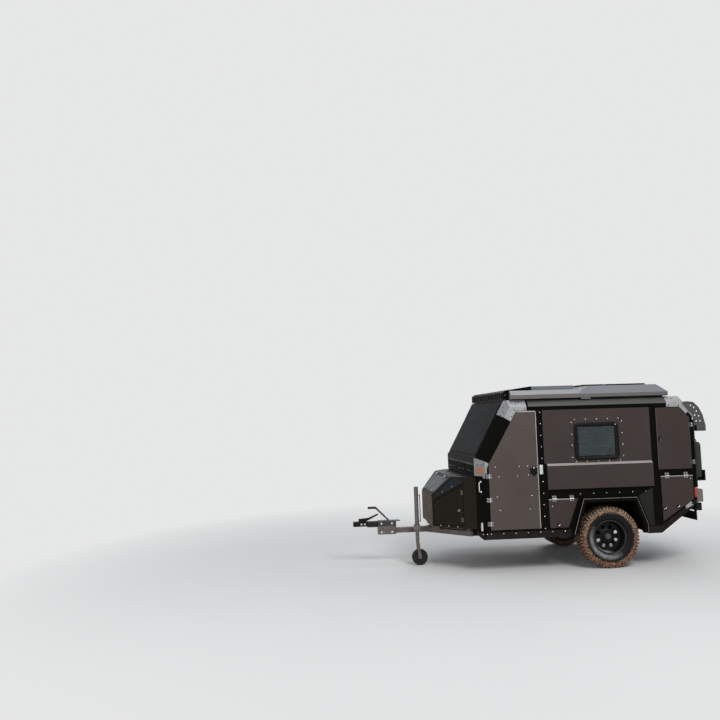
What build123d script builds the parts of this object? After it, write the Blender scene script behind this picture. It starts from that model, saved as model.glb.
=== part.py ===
from build123d import *
import os
from math import cos, hypot, radians, sin

os.makedirs("parts", exist_ok=True)

# Millimetres. X runs rearwards from the axle, Y to the right-hand side, Z up from the ground.
AXLE_X = 965             # the axle's place in the part's own frame, which is centred on its length
SIDES = (("left", -1), ("right", 1))
BIG = 8000               # longer than anything here
OVER = 5                 # how far a cutting tool reaches past what it cuts

# Body shell
DOOR_FACE = 1000         # outer face of the doors, from the middle plane
PROUD = 8                # how far doors and side panels stand out of the black frame
WALL = 30                # thickness of frame, roof, floor and end walls
GAP = 6                  # gap round every door and hatch
FRONT_X = -1760          # front wall
REAR_X = 1228            # rear wall
ROOF_Z = 2240            # top of the roof
FLOOR_Z = 530            # underside of the floor
BEVEL = 110              # front corners, cut off in plan
SLOPE_Z = 1490           # foot of the sloped front
SLOPE_TOP_X = -1350      # where the slope meets the roof
EDGE_Z = 2160            # foot of the bevel along the roof edge
EDGE_IN = 60             # width of that bevel
REAR_BEVEL_X = 1065      # where the roof turns down at the rear
REAR_BEVEL_Z = 2048      # where that bevel meets the rear wall
REAR_EDGE = 60           # width of the bevels beside it
TAIL_X = 711             # where the underside starts to rise
TAIL_Z = 872             # underside at the rear wall

# Running gear
TYRE_R = 403
TYRE_W = 262
RIM_R = 208
WHEEL_IN = 3             # outer side wall of the tyre, inside the door face
WHEEL_Y = DOOR_FACE - WHEEL_IN - TYRE_W / 2
SPINDLE_R = 30
FIT = 0.05               # radial clearance of a running fit
CLEAR = 45               # room beside the tyre
CROWN = 119              # room between the top of the tyre and the edge of the arch

# Arch outline, X and Z, and the width and reach of its flare
CROWN_Z = 2 * TYRE_R + CROWN
ARCH = ((-TYRE_R - 103, 478), (40 - TYRE_R, CROWN_Z), (TYRE_R - 40, CROWN_Z),
        (TYRE_R + 94, 561), (TYRE_R + 87, 456))
FLARE_W = 46
FLARE_OUT = 60
LINER_IN = WHEEL_Y - TYRE_W / 2 - CLEAR    # inner face of the arch liner, from the middle plane
SHEET = 4                # sheet metal

SKIN = DOOR_FACE - PROUD
INNER = SKIN - WALL
ARCH_FRONT, ARCH_REAR = ARCH[0][0], ARCH[3][0]


def block(x0, x1, y0, y1, z0, z1):
    """Box between two corners."""
    return Pos((x0 + x1) / 2, (y0 + y1) / 2, (z0 + z1) / 2) * Box(x1 - x0, y1 - y0, z1 - z0)


def side_block(x0, x1, side, in_y, out_y, z0, z1):
    """Box on one side, between two distances from the middle plane."""
    y0, y1 = sorted((side * in_y, side * out_y))
    return block(x0, x1, y0, y1, z0, z1)


def outline_face(points, amount=0):
    """Flat face inside an outline whose edges are moved out by amount."""
    face = make_face(Polyline(*points, close=True))
    return offset(face, amount, kind=Kind.INTERSECTION) if amount else face


def slab(points, y0, y1, amount=0):
    """Prism with an outline in X and Z, its edges moved out by amount, from y0 to y1."""
    plane = Plane((0, y1, 0), x_dir=(1, 0, 0), z_dir=(0, -1, 0))
    return extrude(plane * outline_face(points, amount), y1 - y0, dir=(0, -1, 0))


def side_slab(points, side, in_y, out_y, amount=0):
    """Prism with an outline in X and Z on one side."""
    y0, y1 = sorted((side * in_y, side * out_y))
    return slab(points, y0, y1, amount)


def bar_x(points, x0, x1):
    """Prism with an outline in Y and Z, from x0 to x1."""
    plane = Plane((x0, 0, 0), x_dir=(0, 1, 0), z_dir=(1, 0, 0))
    return extrude(plane * outline_face(points), x1 - x0, dir=(1, 0, 0))


def plate(points, z0, z1):
    """Prism with an outline in X and Y, from z0 to z1."""
    return extrude(Plane((0, 0, z0)) * outline_face(points), z1 - z0, dir=(0, 0, 1))


def along(start, end):
    """Place at start, facing end, and the distance between them."""
    run = Vector(*end) - Vector(*start)
    return Plane(origin=start, z_dir=run).location, run.length


def rod(start, end, radius):
    """Round bar between two points."""
    place, length = along(start, end)
    return place * Pos(0, 0, length / 2) * Cylinder(radius, length)


def bar(start, end, radius, sides=8):
    """Bar with flat sides between two points."""
    place, length = along(start, end)
    return place * extrude(RegularPolygon(radius, sides), length)


def turned(stations, sides):
    """Form with flat sides round the Y axis, through stations of radius and place along it."""
    sections = [Plane((0, y, 0), z_dir=(0, 1, 0)) * RegularPolygon(r, sides) for r, y in stations]
    return loft(sections, ruled=True)


def trim(part, point, normal):
    """The part without what lies beyond the plane through point that faces normal."""
    return part - Plane(origin=point, z_dir=normal).location * Pos(0, 0, BIG / 2) * Box(BIG, BIG, BIG)


def unit(*parts):
    """Vector of length one."""
    return Vector(*parts).normalized()


def joined(items):
    """All items as one shape."""
    total = items[0]
    for item in items[1:]:
        total = total + item
    return total


def save(name, shape):
    """Write one sub-part, moved into the part's own frame."""
    export_step(Pos(AXLE_X, 0, 0) * shape, f"parts/{name}.step")


# Planes of the body: a point on each and its outward direction
SLOPE_RUN, SLOPE_RISE = SLOPE_TOP_X - FRONT_X, ROOF_Z - SLOPE_Z
HULL_PLANES = [
    ((FRONT_X, 0, SLOPE_Z), unit(-SLOPE_RISE, 0, SLOPE_RUN)),
    ((REAR_X, 0, REAR_BEVEL_Z), unit(ROOF_Z - REAR_BEVEL_Z, 0, REAR_X - REAR_BEVEL_X)),
    ((TAIL_X, 0, FLOOR_Z), unit(TAIL_Z - FLOOR_Z, 0, TAIL_X - REAR_X)),
]
for _, side in SIDES:
    corner = (FRONT_X, side * (SKIN - BEVEL), SLOPE_Z)
    HULL_PLANES.append((corner, unit(-1, side, 0)))
    HULL_PLANES.append((corner, unit(-SLOPE_RISE, side * SLOPE_RISE, SLOPE_RUN)))
    HULL_PLANES.append(((0, side * SKIN, EDGE_Z), unit(0, side * (ROOF_Z - EDGE_Z), EDGE_IN)))
    rear_normal = HULL_PLANES[1][1]
    edge_foot = Vector(REAR_BEVEL_X, side * SKIN, ROOF_Z) - rear_normal * REAR_EDGE
    HULL_PLANES.append((tuple(edge_foot), unit(rear_normal.X, side, rear_normal.Z)))


def hull(inset):
    """The closed outside form of the body, every face moved in by inset."""
    half = SKIN - inset
    form = block(FRONT_X + inset, REAR_X - inset, -half, half, FLOOR_Z + inset, ROOF_Z - inset)
    for point, normal in HULL_PLANES:
        form = trim(form, Vector(*point) - normal * inset, normal)
    return form


outer = hull(0)
shell = outer - hull(WALL)

# All that lies ahead of the side walls' front edge
ABOVE = 100
front_low, front_top = FRONT_X + BEVEL, SLOPE_TOP_X + BEVEL + ABOVE * SLOPE_RUN / SLOPE_RISE
front_region = slab([(-BIG, -ABOVE), (front_low, -ABOVE), (front_low, SLOPE_Z),
                     (front_top, ROOF_Z + ABOVE), (-BIG, ROOF_Z + ABOVE)], -BIG / 2, BIG / 2)
rest = shell - front_region
save("front_wall", shell & front_region)

# Outlines on the side, X and Z. Each door has the real door's outline.
DOOR = ((-1605, 560), (-1605, 1415), (-1200, 2105), (-938, 2105), (-938, 560))
HATCH_F = ((-818, 935), (ARCH[1][0] - 54, 935), (ARCH_FRONT - 59, 560), (-812, 560))
DOOR_R = ((716, 1273), (716, 2100), (1040, 2100), (1182, 1957), (1182, 1273))
HATCH_R = ((733, 1185), (1178, 1185), (1178, 870), (737, 590))
PANEL = (-850, 625, 1403, 2110)      # upper side panel: x0, x1, z0, z1
WAIST = (-822, 625, 1055, 1403)      # box panel under it
WAIST_OUT = 38
WAIST_FOOT, WAIST_HEAD = 8, 34       # heights of its sloped lower and upper faces
LOW_PANEL = ((ARCH[2][0] + 47, CROWN_Z + 10), (612, 1040), (612, 545), (ARCH_REAR + 48, 545))

# Window: x0, x1, z0, z1 over its frame, which laps over the panel
WINDOW = (-431, 186, 1429, 1929)
WINDOW_R = 70
FRAME_BAND = 30
FRAME_OUT = 18
CORNER_STEPS = 3


def window_cut(shrink, side, in_y, out_y):
    """Prism over the window's outline, moved in by shrink, its round corners in flat steps."""
    x0, x1, z0, z1 = WINDOW
    radius = WINDOW_R - shrink
    mid_x, mid_z = (x0 + x1) / 2, (z0 + z1) / 2
    half_x, half_z = (x1 - x0) / 2 - WINDOW_R, (z1 - z0) / 2 - WINDOW_R
    points = []
    for quarter, (sx, sz) in enumerate(((1, 1), (-1, 1), (-1, -1), (1, -1))):
        for step in range(CORNER_STEPS + 1):
            turn = radians(90 * quarter + 90 * step / CORNER_STEPS)
            x, z = mid_x + sx * half_x + radius * cos(turn), mid_z + sz * half_z + radius * sin(turn)
            points.append((x, z))
    return side_slab(points, side, in_y, out_y)


# Side walls: the black frame, open at every door, window and wheel
for name, side in SIDES:
    wall = rest & side_block(-BIG / 2, BIG / 2, side, INNER, BIG / 2, 0, BIG / 2)
    for outline in (DOOR, HATCH_F, DOOR_R, HATCH_R):
        wall = wall - side_slab(outline, side, INNER - OVER, SKIN + OVER, GAP)
    wall = wall - side_slab(ARCH, side, INNER - OVER, SKIN + OVER, -FLARE_W)
    wall = wall - window_cut(FRAME_BAND, side, INNER - OVER, SKIN + OVER)
    save(f"side_wall_{name}", wall)

# Roof, rear wall and floor between the side walls
TAIL_T = WALL - 10                   # the raised tail floor is a little thinner
floor_region = slab([(-BIG, -ABOVE), (-BIG, FLOOR_Z + WALL), (TAIL_X, FLOOR_Z + WALL),
                     (REAR_X - WALL, TAIL_Z + TAIL_T), (REAR_X - WALL, -ABOVE)], -BIG / 2, BIG / 2)
middle = rest & block(-BIG / 2, BIG / 2, -INNER, INNER, 0, BIG / 2)
floor = middle & floor_region
upper = middle - floor_region
ROOF_END_X = REAR_BEVEL_X - 40
roof = upper & block(-BIG / 2, ROOF_END_X, -BIG / 2, BIG / 2, ROOF_Z - 2 * WALL, BIG)
PLINTH = (-1320, 900, 860, 22)       # dark base of the roof gear: x0, x1, half width, height
px0, px1, plinth_y, plinth_h = PLINTH
GEAR_Z = ROOF_Z + plinth_h
roof = roof + block(px0, px1, -plinth_y, plinth_y, ROOF_Z, GEAR_Z)
save("roof", roof)
save("rear_wall", upper & block(ROOF_END_X, BIG / 2, -BIG / 2, BIG / 2, 0, BIG))

# Wheel arches: a sheet liner inside and a flare outside, open at the bottom
FLARE_MOUTH = (ARCH_FRONT + 66, ARCH_REAR - 57, 560)
arches = []
for name, side in SIDES:
    liner = side_slab(ARCH, side, LINER_IN, INNER, SHEET - FLARE_W)
    floor = floor - liner
    liner = liner - side_slab(ARCH, side, LINER_IN + SHEET, INNER + OVER, -FLARE_W)
    arches.append(liner & side_block(-BIG / 2, BIG / 2, side, LINER_IN, INNER, FLOOR_Z, BIG / 2))
    flare = side_slab(ARCH, side, SKIN, DOOR_FACE + FLARE_OUT)
    flare = flare - side_slab(ARCH, side, SKIN - OVER, DOOR_FACE + FLARE_OUT + OVER, -FLARE_W)
    mouth_x0, mouth_x1, mouth_z = FLARE_MOUTH
    arches.append(flare - side_block(mouth_x0, mouth_x1, side, 0, BIG / 2, 0, mouth_z))
save("wheel_arches", joined(arches))
save("floor", floor)

# Bulkhead behind the cabin and the shelf between the rear compartments
BULKHEAD_X = 640
BOARD = 20
SHELF_Z = 1220
boards = block(BULKHEAD_X, BULKHEAD_X + BOARD, -BIG / 2, BIG / 2, 0, BIG)
boards = boards + block(BULKHEAD_X, BIG / 2, -BIG / 2, BIG / 2, SHELF_Z, SHELF_Z + BOARD)
save("partition", hull(WALL) & boards)

# Hinges and latches
PIN_OUT = 9              # hinge pin outside the face of its door
HINGE_R = 8
HINGE_LEN = 60
LEAF_T = PIN_OUT - 3
LEAF_W = 36
FIXED_LEAF = 34          # length of the leaf on the frame
SLACK = 3                # between that leaf and the barrel
LATCH = 32
LATCH_OUT = 10
PIN_Y = DOOR_FACE + PIN_OUT
DOOR_HINGES = (641, 950, 1260)       # heights of the entry door's hinges
DOOR_R_HINGES = (1360, 1860)
HATCH_HINGES = (0.19, 0.78)          # places along a hatch's top edge, as a share of it
DRAW = 18                # how much smaller a hatch is inside, so that it swings clear
HANDLE_R = (742, 1683, 46)           # latch of the upper rear door: front edge x, z, height
HANDLE = (-1002, 1314, 64, 104, 16)  # entry latch: x, z, width, height, depth


def hinge_barrel(start, end, first):
    """Hinge barrel: the first of a row is round, the others have flat sides."""
    return rod(start, end, HINGE_R) if first else bar(start, end, HINGE_R, 6)


def hinge_side(points, side, x, heights, toward):
    """Barrels and leaves up an edge at x; the door lies toward +X or -X."""
    door_parts, frame_parts = [], []
    for z in heights:
        low, high = z - HINGE_LEN / 2, z + HINGE_LEN / 2
        x0, x1 = sorted((x, x + toward * LEAF_W))
        door_parts.append(side_block(x0, x1, side, DOOR_FACE, DOOR_FACE + LEAF_T, low, high))
        door_parts.append(hinge_barrel((x, side * PIN_Y, low), (x, side * PIN_Y, high), z == heights[0]))
        f0, f1 = sorted((x - toward * (HINGE_R + SLACK), x - toward * (HINGE_R + SLACK + FIXED_LEAF)))
        frame_parts.append(side_block(f0, f1, side, SKIN, DOOR_FACE + LEAF_T, low, high))
    return joined([side_slab(points, side, INNER, DOOR_FACE)] + door_parts), frame_parts


def top_hinged(outline, side, latches):
    """Hatch hinged on its top edge, which is its first edge, and the leaves on the frame above it."""
    (x0, z0), (x1, _) = outline[0], outline[1]
    parts = [side_slab(outline, side, SKIN, DOOR_FACE), side_slab(outline, side, INNER, SKIN, -DRAW)]
    frame_parts = []
    foot, top = z0 + HINGE_R + SLACK, z0 + HINGE_R + SLACK + FIXED_LEAF
    for share in HATCH_HINGES:
        x = x0 + (x1 - x0) * share
        a, b = x - HINGE_LEN / 2, x + HINGE_LEN / 2
        parts.append(side_block(a, b, side, DOOR_FACE, DOOR_FACE + LEAF_T, z0 - LEAF_W, z0))
        first = share == HATCH_HINGES[0]
        parts.append(hinge_barrel((a, side * PIN_Y, z0), (b, side * PIN_Y, z0), first))
        frame_parts.append(side_block(a, b, side, SKIN, DOOR_FACE + LEAF_T, foot, top))
    for x, z in latches:
        half = LATCH / 2
        parts.append(side_block(x - half, x + half, side, DOOR_FACE, DOOR_FACE + LATCH_OUT,
                                z - half, z + half))
    return joined(parts), frame_parts


# Doors and hatches, as thick as the wall and its panel together
fittings = []
for name, side in SIDES:
    door, leaves = hinge_side(DOOR, side, DOOR[0][0], DOOR_HINGES, 1)
    hx, hz, hw, hh, hd = HANDLE
    door = door + side_block(hx - hw / 2, hx + hw / 2, side, DOOR_FACE, DOOR_FACE + hd,
                             hz - hh / 2, hz + hh / 2)
    save(f"entry_door_{name}", door)
    fittings += leaves
    door, leaves = hinge_side(DOOR_R, side, DOOR_R[4][0], DOOR_R_HINGES, -1)
    hx, hz, hh = HANDLE_R
    door = door + side_block(hx, hx + LATCH, side, DOOR_FACE, DOOR_FACE + LATCH_OUT, hz - hh / 2, hz + hh / 2)
    save(f"rear_door_{name}", door)
    hatch, leaves = top_hinged(HATCH_F, side, ((-698, 590),))
    save(f"front_hatch_{name}", hatch)
    fittings += leaves
    hatch, leaves = top_hinged(HATCH_R, side, ((765, 755), (952, 775)))
    save(f"rear_hatch_{name}", hatch)
    fittings += leaves

# Side panels and windows
panels, frames, panes = [], [], []
for name, side in SIDES:
    x0, x1, z0, z1 = PANEL
    panel = side_block(x0, x1, side, SKIN, DOOR_FACE, z0, z1)
    panels.append(panel - window_cut(FRAME_BAND, side, SKIN - OVER, DOOR_FACE + OVER))
    x0, x1, z0, z1 = WAIST
    face_y = side * (SKIN + WAIST_OUT)
    section = [(side * SKIN, z0), (face_y, z0 + WAIST_FOOT), (face_y, z1 - WAIST_HEAD), (side * SKIN, z1)]
    panels.append(bar_x(section, x0, x1))
    panels.append(side_slab(LOW_PANEL, side, SKIN, SKIN + SHEET))
    ring = window_cut(0, side, DOOR_FACE, DOOR_FACE + FRAME_OUT)
    frames.append(ring - window_cut(FRAME_BAND + 12, side, DOOR_FACE - OVER, DOOR_FACE + FRAME_OUT + OVER))
    panes.append(window_cut(FRAME_BAND, side, DOOR_FACE - 2 * PROUD, DOOR_FACE))
save("side_panels", joined(panels))
save("window_frames", joined(frames))
save("window_panes", joined(panes))

# Castings wrap the corners of the body: outline of each region in X and Z, and its least distance
# from the middle plane
CAST = 12
REAR_STRIP = 15
CASTINGS = (
    (((-1061, 2300), (-1061, 2111), (-1204, 2111), (-1284, 1974), (-1480, 2093), (-1480, 2300)), 900),
    (((-1800, 1270), (-1690, 1262), (-1678, 1237), (-1656, 1237), (-1656, 1298), (-1634, 1300),
      (-1632, 1362), (-1606, 1427), (-1654, 1455), (-1745, 1492), (-1800, 1510)), 872),
    (((870, 2108), (1044, 2108), (1143, 2010), (1164, 2038), (1236, 1960), (1300, 1990), (1300, 2300),
      (870, 2300)), 900),
)
STRIP_Z0, STRIP_Z1 = 1020, 1925      # the strip down the rear corner
TAIL_PLATE = ((1050, 778), (1137, 838), (1160, 790), (1058, 736))
skin_out = hull(-CAST) - outer
pieces = []
for name, side in SIDES:
    for outline, least in CASTINGS:
        pieces.append(skin_out & side_slab(outline, side, least, BIG / 2))
    pieces.append(side_slab(TAIL_PLATE, side, SKIN, SKIN + CAST))
    pieces.append(side_block(REAR_X, REAR_X + REAR_STRIP, side, INNER - OVER, SKIN + CAST,
                             STRIP_Z0, STRIP_Z1))
save("castings", joined(pieces))

# Grey rail along the roof edge
RAIL_T = 10
RAIL_IN = 20
RAIL_X0, RAIL_X1 = -1036, 862
rails = []
for name, side in SIDES:
    foot, head = SKIN, SKIN - EDGE_IN
    section = [(foot, EDGE_Z), (foot + RAIL_T, EDGE_Z), (foot + RAIL_T, EDGE_Z + RAIL_T),
               (head + RAIL_T, ROOF_Z + RAIL_T), (head - RAIL_IN, ROOF_Z + RAIL_T),
               (head - RAIL_IN, ROOF_Z), (head, ROOF_Z)]
    rails.append(bar_x([(side * y, z) for y, z in section], RAIL_X0, RAIL_X1))
save("roof_rails", joined(rails))

# Glossy panel on the slope and the ribbed band below it
PANE_T = 8
PANE_W = 1700
PANE_END = 45
slope_plane = Plane(origin=(FRONT_X, 0, SLOPE_Z), x_dir=(0, -1, 0), z_dir=HULL_PLANES[0][1])
slope_len = hypot(SLOPE_RUN, SLOPE_RISE)
pane = Box(PANE_W, slope_len - 2 * PANE_END, PANE_T)
save("front_pane", slope_plane.location * Pos(0, slope_len / 2, PANE_T / 2) * pane)
BAND_Z0 = 1250
BAND_HALF = 860
BAND_OUT = 14
BAND_GAP = 8
RIBS = 20
SLOT_DEEP = 8
SLOT_Z0, SLOT_Z1 = BAND_Z0 + 30, SLOPE_Z - 90
band = block(FRONT_X - BAND_OUT, FRONT_X, -BAND_HALF, BAND_HALF, BAND_Z0, SLOPE_Z - BAND_GAP)
pitch = 2 * BAND_HALF / RIBS
slots = []
for i in range(RIBS):
    y = (i + 0.5) * pitch - BAND_HALF
    slots.append(block(FRONT_X - BAND_OUT - OVER, FRONT_X - BAND_OUT + SLOT_DEEP,
                       y - pitch / 4, y + pitch / 4, SLOT_Z0, SLOT_Z1))
save("front_band", band - slots)

# Chassis
RAIL_Y0, RAIL_Y1 = 560, 620
SILL = 62
FRAME_Z = 437
SILL_IN = SKIN - SILL
CROSS_DROP = 13
CROSS_W = 60
SILL_FRONT = FRONT_X + BEVEL + 20
sill_end = ((ARCH_FRONT - 34, FRAME_Z), (ARCH_FRONT - 8, FLOOR_Z))
AFT_X = ARCH_REAR + 30
tail = [(TAIL_X, FLOOR_Z), (TAIL_X, FRAME_Z), (REAR_X - CROSS_W, TAIL_Z - 110), (REAR_X, TAIL_Z - 30),
        (REAR_X, TAIL_Z)]
CROSS_X = (-1700, -1100, ARCH_FRONT - 94, AFT_X, 650)
parts = []
for _, side in SIDES:
    parts.append(side_block(FRONT_X, TAIL_X, side, RAIL_Y0, RAIL_Y1, FRAME_Z, FLOOR_Z))
    parts.append(side_slab(tail, side, RAIL_Y0, RAIL_Y1))
    ramp = [(FRONT_X, FLOOR_Z), (FRONT_X, FRAME_Z + CROSS_W), (FRONT_X + CROSS_W, FRAME_Z)]
    parts.append(side_slab(ramp + list(sill_end), side, SILL_IN - BEVEL, SILL_IN))
    parts.append(side_slab(ramp[2:] + list(sill_end) + [(SILL_FRONT, FLOOR_Z)], side, SILL_IN, SKIN))
    parts.append(side_block(AFT_X, TAIL_X, side, SILL_IN, SKIN, FRAME_Z, FLOOR_Z))
    parts.append(side_slab(tail, side, SILL_IN, SKIN))
for x in CROSS_X:
    parts.append(block(x, x + CROSS_W, -SILL_IN, SILL_IN, FRAME_Z + CROSS_DROP, FLOOR_Z))
parts.append(block(REAR_X - CROSS_W, REAR_X, -SILL_IN, SILL_IN, TAIL_Z - 80, TAIL_Z - 40))
chassis = joined(parts)
save("chassis", chassis)

# Nose box and jockey wheel stand along the drawbar
NOSE_X, NOSE_HALF = -2275, 440
JOCKEY_X, JOCKEY_Y = NOSE_X - 186, -200

# Drawbar: central tube, two diagonal arms, and the bearers under the nose box
BAR_W = 80
BAR_Z0, BAR_Z1 = 431, 501
BAR_FRONT, BAR_REAR = JOCKEY_X - 329, -1000
ARM_FRONT = NOSE_X - 55
NOSE_Z0, NOSE_Z1 = 565, 1244
BEARERS = ((NOSE_X + 45, 360), (FRONT_X - 80, 600))     # x and half length of each
parts = [block(BAR_FRONT, BAR_REAR, -BAR_W / 2, BAR_W / 2, BAR_Z0, BAR_Z1)]
for _, side in SIDES:
    arm = [(ARM_FRONT, side * 30), (ARM_FRONT + 60, side * 30), (FRONT_X, side * (RAIL_Y0 - 4)),
           (FRONT_X, side * RAIL_Y1), (FRONT_X - 40, side * RAIL_Y1)]
    parts.append(plate(arm, BAR_Z0, BAR_Z1))
for x, half in BEARERS:
    parts.append(block(x, x + CROSS_W, -half, half, BAR_Z1, NOSE_Z0))
save("drawbar", joined(parts) - chassis)

# Overrun housing with its cover plate
HOUSE_X1 = JOCKEY_X - 279
HOUSE_X0 = HOUSE_X1 - 258
HOUSE_W, HOUSE_Z0, HOUSE_Z1 = 64, 418, 606
COVER = 8
COVER_W = HOUSE_W - 4
housing = block(HOUSE_X0, HOUSE_X1, -HOUSE_W, HOUSE_W, HOUSE_Z0, HOUSE_Z1 - COVER)
housing = housing + block(HOUSE_X0 + COVER, HOUSE_X1 + CROSS_W, -COVER_W, COVER_W, HOUSE_Z1 - COVER, HOUSE_Z1)
sleeve = block(BAR_FRONT - OVER, HOUSE_X1 + OVER, -BAR_W / 2 - 1, BAR_W / 2 + 1, BAR_Z0 - BAR_Z1, BAR_Z1 + 1)
save("overrun_housing", housing - sleeve)

# Coupling on its shaft, with the handle over it
COUPLING_X, COUPLING_Z = HOUSE_X0 - 293, 560
BALL_R = 25.4
SHAFT_R = 27
SHAFT_SIDES = 8
HEAD_W, HEAD_DOWN, HEAD_UP = 45, 24, 40
HEAD_X0, HEAD_X1 = COUPLING_X - 57, COUPLING_X + 141
coupling = block(HEAD_X0, HEAD_X1, -HEAD_W, HEAD_W, COUPLING_Z - HEAD_DOWN, COUPLING_Z + HEAD_UP)
socket = Pos(COUPLING_X, 0, COUPLING_Z - HEAD_DOWN) * Cylinder(BALL_R, 2 * HEAD_DOWN)
shaft_ends = (HEAD_X1, 0, COUPLING_Z), (HOUSE_X0, 0, COUPLING_Z)
coupling = coupling - socket + bar(*shaft_ends, SHAFT_R, SHAFT_SIDES)
HOOD = ((21, 36), (110, 36), (136, 48), (301, 130), (301, 148), (161, 90), (21, 80))   # from the ball
HOOD_HALF = 16
hood = [(COUPLING_X + x, COUPLING_Z + z) for x, z in HOOD]
save("coupling", coupling + slab(hood, -HOOD_HALF, HOOD_HALF))

# Bellows between coupling and housing
BELLOWS_R, GROOVE_R = 46, 38
FOLDS = 5
bellows_x0, bellows_x1 = HEAD_X1 + 1, HOUSE_X0 - 1
fold = (bellows_x1 - bellows_x0) / (2 * FOLDS + 1)
bellows = bar((bellows_x0, 0, COUPLING_Z), (bellows_x1, 0, COUPLING_Z), GROOVE_R)
for i in range(FOLDS + 1):
    x = bellows_x0 + 2 * fold * i
    bellows = bellows + bar((x, 0, COUPLING_Z), (x + fold, 0, COUPLING_Z), BELLOWS_R)
save("bellows", bellows - bar(*shaft_ends, SHAFT_R, SHAFT_SIDES))

# Handbrake lever beside the housing: a bent flat bar and its grip
LEVER_X, LEVER_Y = HOUSE_X0 + 158, 30
BEND_X, BEND_Z = HOUSE_X0 - 23, 787
LEVER_T, LEVER_HALF = 10, 16
GRIP_LEN, GRIP_R = 112, 15
lever_bar = [(LEVER_X - LEVER_HALF, HOUSE_Z1), (LEVER_X + LEVER_HALF, HOUSE_Z1),
             (BEND_X + LEVER_T, BEND_Z + LEVER_T), (BEND_X - LEVER_T, BEND_Z + LEVER_T),
             (BEND_X - LEVER_T, BEND_Z - LEVER_T)]
grip = bar((BEND_X - LEVER_T + 2, LEVER_Y, BEND_Z), (BEND_X - GRIP_LEN, LEVER_Y, BEND_Z), GRIP_R)
save("handbrake_lever", slab(lever_bar, LEVER_Y - LEVER_T / 2, LEVER_Y + LEVER_T / 2) + grip)

# Jockey: outer tube in its clamp, sliding leg, folding fork and wheel
TUBE_R, TUBE_WALL, TUBE_SIDES = 30, 4, 16
LEG_R = TUBE_R - TUBE_WALL - FIT
TUBE_Z0, TUBE_Z1 = 470, 1085
CAP_T = 10
LEG_TOP = 930
PIVOT_Z = 310
KNUCKLE_DOWN, KNUCKLE_UP, KNUCKLE_HALF = 22, 36, 20
JOCKEY_R = 112
JOCKEY_HALF = 28
JOCKEY_SIDES = 24
TRAIL = 25               # wheel centre behind the fold pin
FORK_GAP, FORK_T = 8, 6
JOCKEY_PIN_R = 8
CLAMP = 42
CLAMP_H = 80
ROD_OUT = 50             # the crank rod ahead of the tube
ROD_T = 12
ROD_Z0, ROD_Z1 = 600, 975
wheel_x = JOCKEY_X + TRAIL
stem_ends = (JOCKEY_X, JOCKEY_Y, TUBE_Z0), (JOCKEY_X, JOCKEY_Y, TUBE_Z1)
stem_bore = rod((JOCKEY_X, JOCKEY_Y, 0), (JOCKEY_X, JOCKEY_Y, TUBE_Z1 - CAP_T), TUBE_R - TUBE_WALL)
clamp = block(JOCKEY_X - CLAMP, JOCKEY_X + CLAMP, JOCKEY_Y - CLAMP, JOCKEY_Y + CLAMP,
              TUBE_Z0 + CAP_T, TUBE_Z0 + CAP_T + CLAMP_H)
clamp = clamp + block(JOCKEY_X - CLAMP, JOCKEY_X + CLAMP, JOCKEY_Y + TUBE_R, -BAR_W / 2, BAR_Z0 + 24, BAR_Z1)
crank_x0, crank_x1 = JOCKEY_X + ROD_OUT - ROD_T / 2, JOCKEY_X + ROD_OUT + ROD_T / 2
crank_y0, crank_y1 = JOCKEY_Y - ROD_T / 2, JOCKEY_Y + ROD_T / 2
crank = block(crank_x0, crank_x1, crank_y0, crank_y1, ROD_Z0, ROD_Z1)
for z in (ROD_Z0, ROD_Z1 - ROD_T):
    crank = crank + block(JOCKEY_X + TUBE_R - 2, crank_x1, crank_y0, crank_y1, z, z + ROD_T)
save("jockey_tube", bar(*stem_ends, TUBE_R, TUBE_SIDES) + clamp + crank - stem_bore)
leg = rod((JOCKEY_X, JOCKEY_Y, PIVOT_Z + KNUCKLE_UP - OVER), (JOCKEY_X, JOCKEY_Y, LEG_TOP), LEG_R)
knuckle = block(JOCKEY_X - KNUCKLE_HALF, JOCKEY_X + KNUCKLE_HALF, JOCKEY_Y - JOCKEY_HALF,
                JOCKEY_Y + JOCKEY_HALF, PIVOT_Z - KNUCKLE_DOWN, PIVOT_Z + KNUCKLE_UP)
pin_half = JOCKEY_HALF + FORK_GAP + FORK_T
pin_y0, pin_y1 = JOCKEY_Y - pin_half, JOCKEY_Y + pin_half
knuckle = knuckle - rod((JOCKEY_X, pin_y0, PIVOT_Z), (JOCKEY_X, pin_y1, PIVOT_Z), JOCKEY_PIN_R + FIT)
save("jockey_leg", leg + knuckle)
fork = []
blade = [(JOCKEY_X - 20, PIVOT_Z + 20), (JOCKEY_X + 20, PIVOT_Z + 20), (wheel_x + 22, JOCKEY_R - 20),
         (wheel_x - 22, JOCKEY_R - 20)]
for y in (pin_y0, pin_y1 - FORK_T):
    fork.append(slab(blade, y, y + FORK_T))
for x, z in ((JOCKEY_X, PIVOT_Z), (wheel_x, JOCKEY_R)):
    fork.append(rod((x, pin_y0, z), (x, pin_y1, z), JOCKEY_PIN_R))
save("jockey_fork", joined(fork))
wheel = bar((wheel_x, JOCKEY_Y - JOCKEY_HALF, JOCKEY_R), (wheel_x, JOCKEY_Y + JOCKEY_HALF, JOCKEY_R),
            JOCKEY_R, JOCKEY_SIDES)
HOLES = 6
for i in range(HOLES):
    turn = radians(360 / HOLES * i)
    x, z = wheel_x + 0.5 * JOCKEY_R * cos(turn), JOCKEY_R + 0.5 * JOCKEY_R * sin(turn)
    wheel = wheel - bar((x, pin_y0, z), (x, pin_y1, z), 0.16 * JOCKEY_R, 6)
bore = rod((wheel_x, pin_y0, JOCKEY_R), (wheel_x, pin_y1, JOCKEY_R), JOCKEY_PIN_R + FIT)
save("jockey_wheel", wheel - bore)

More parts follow.
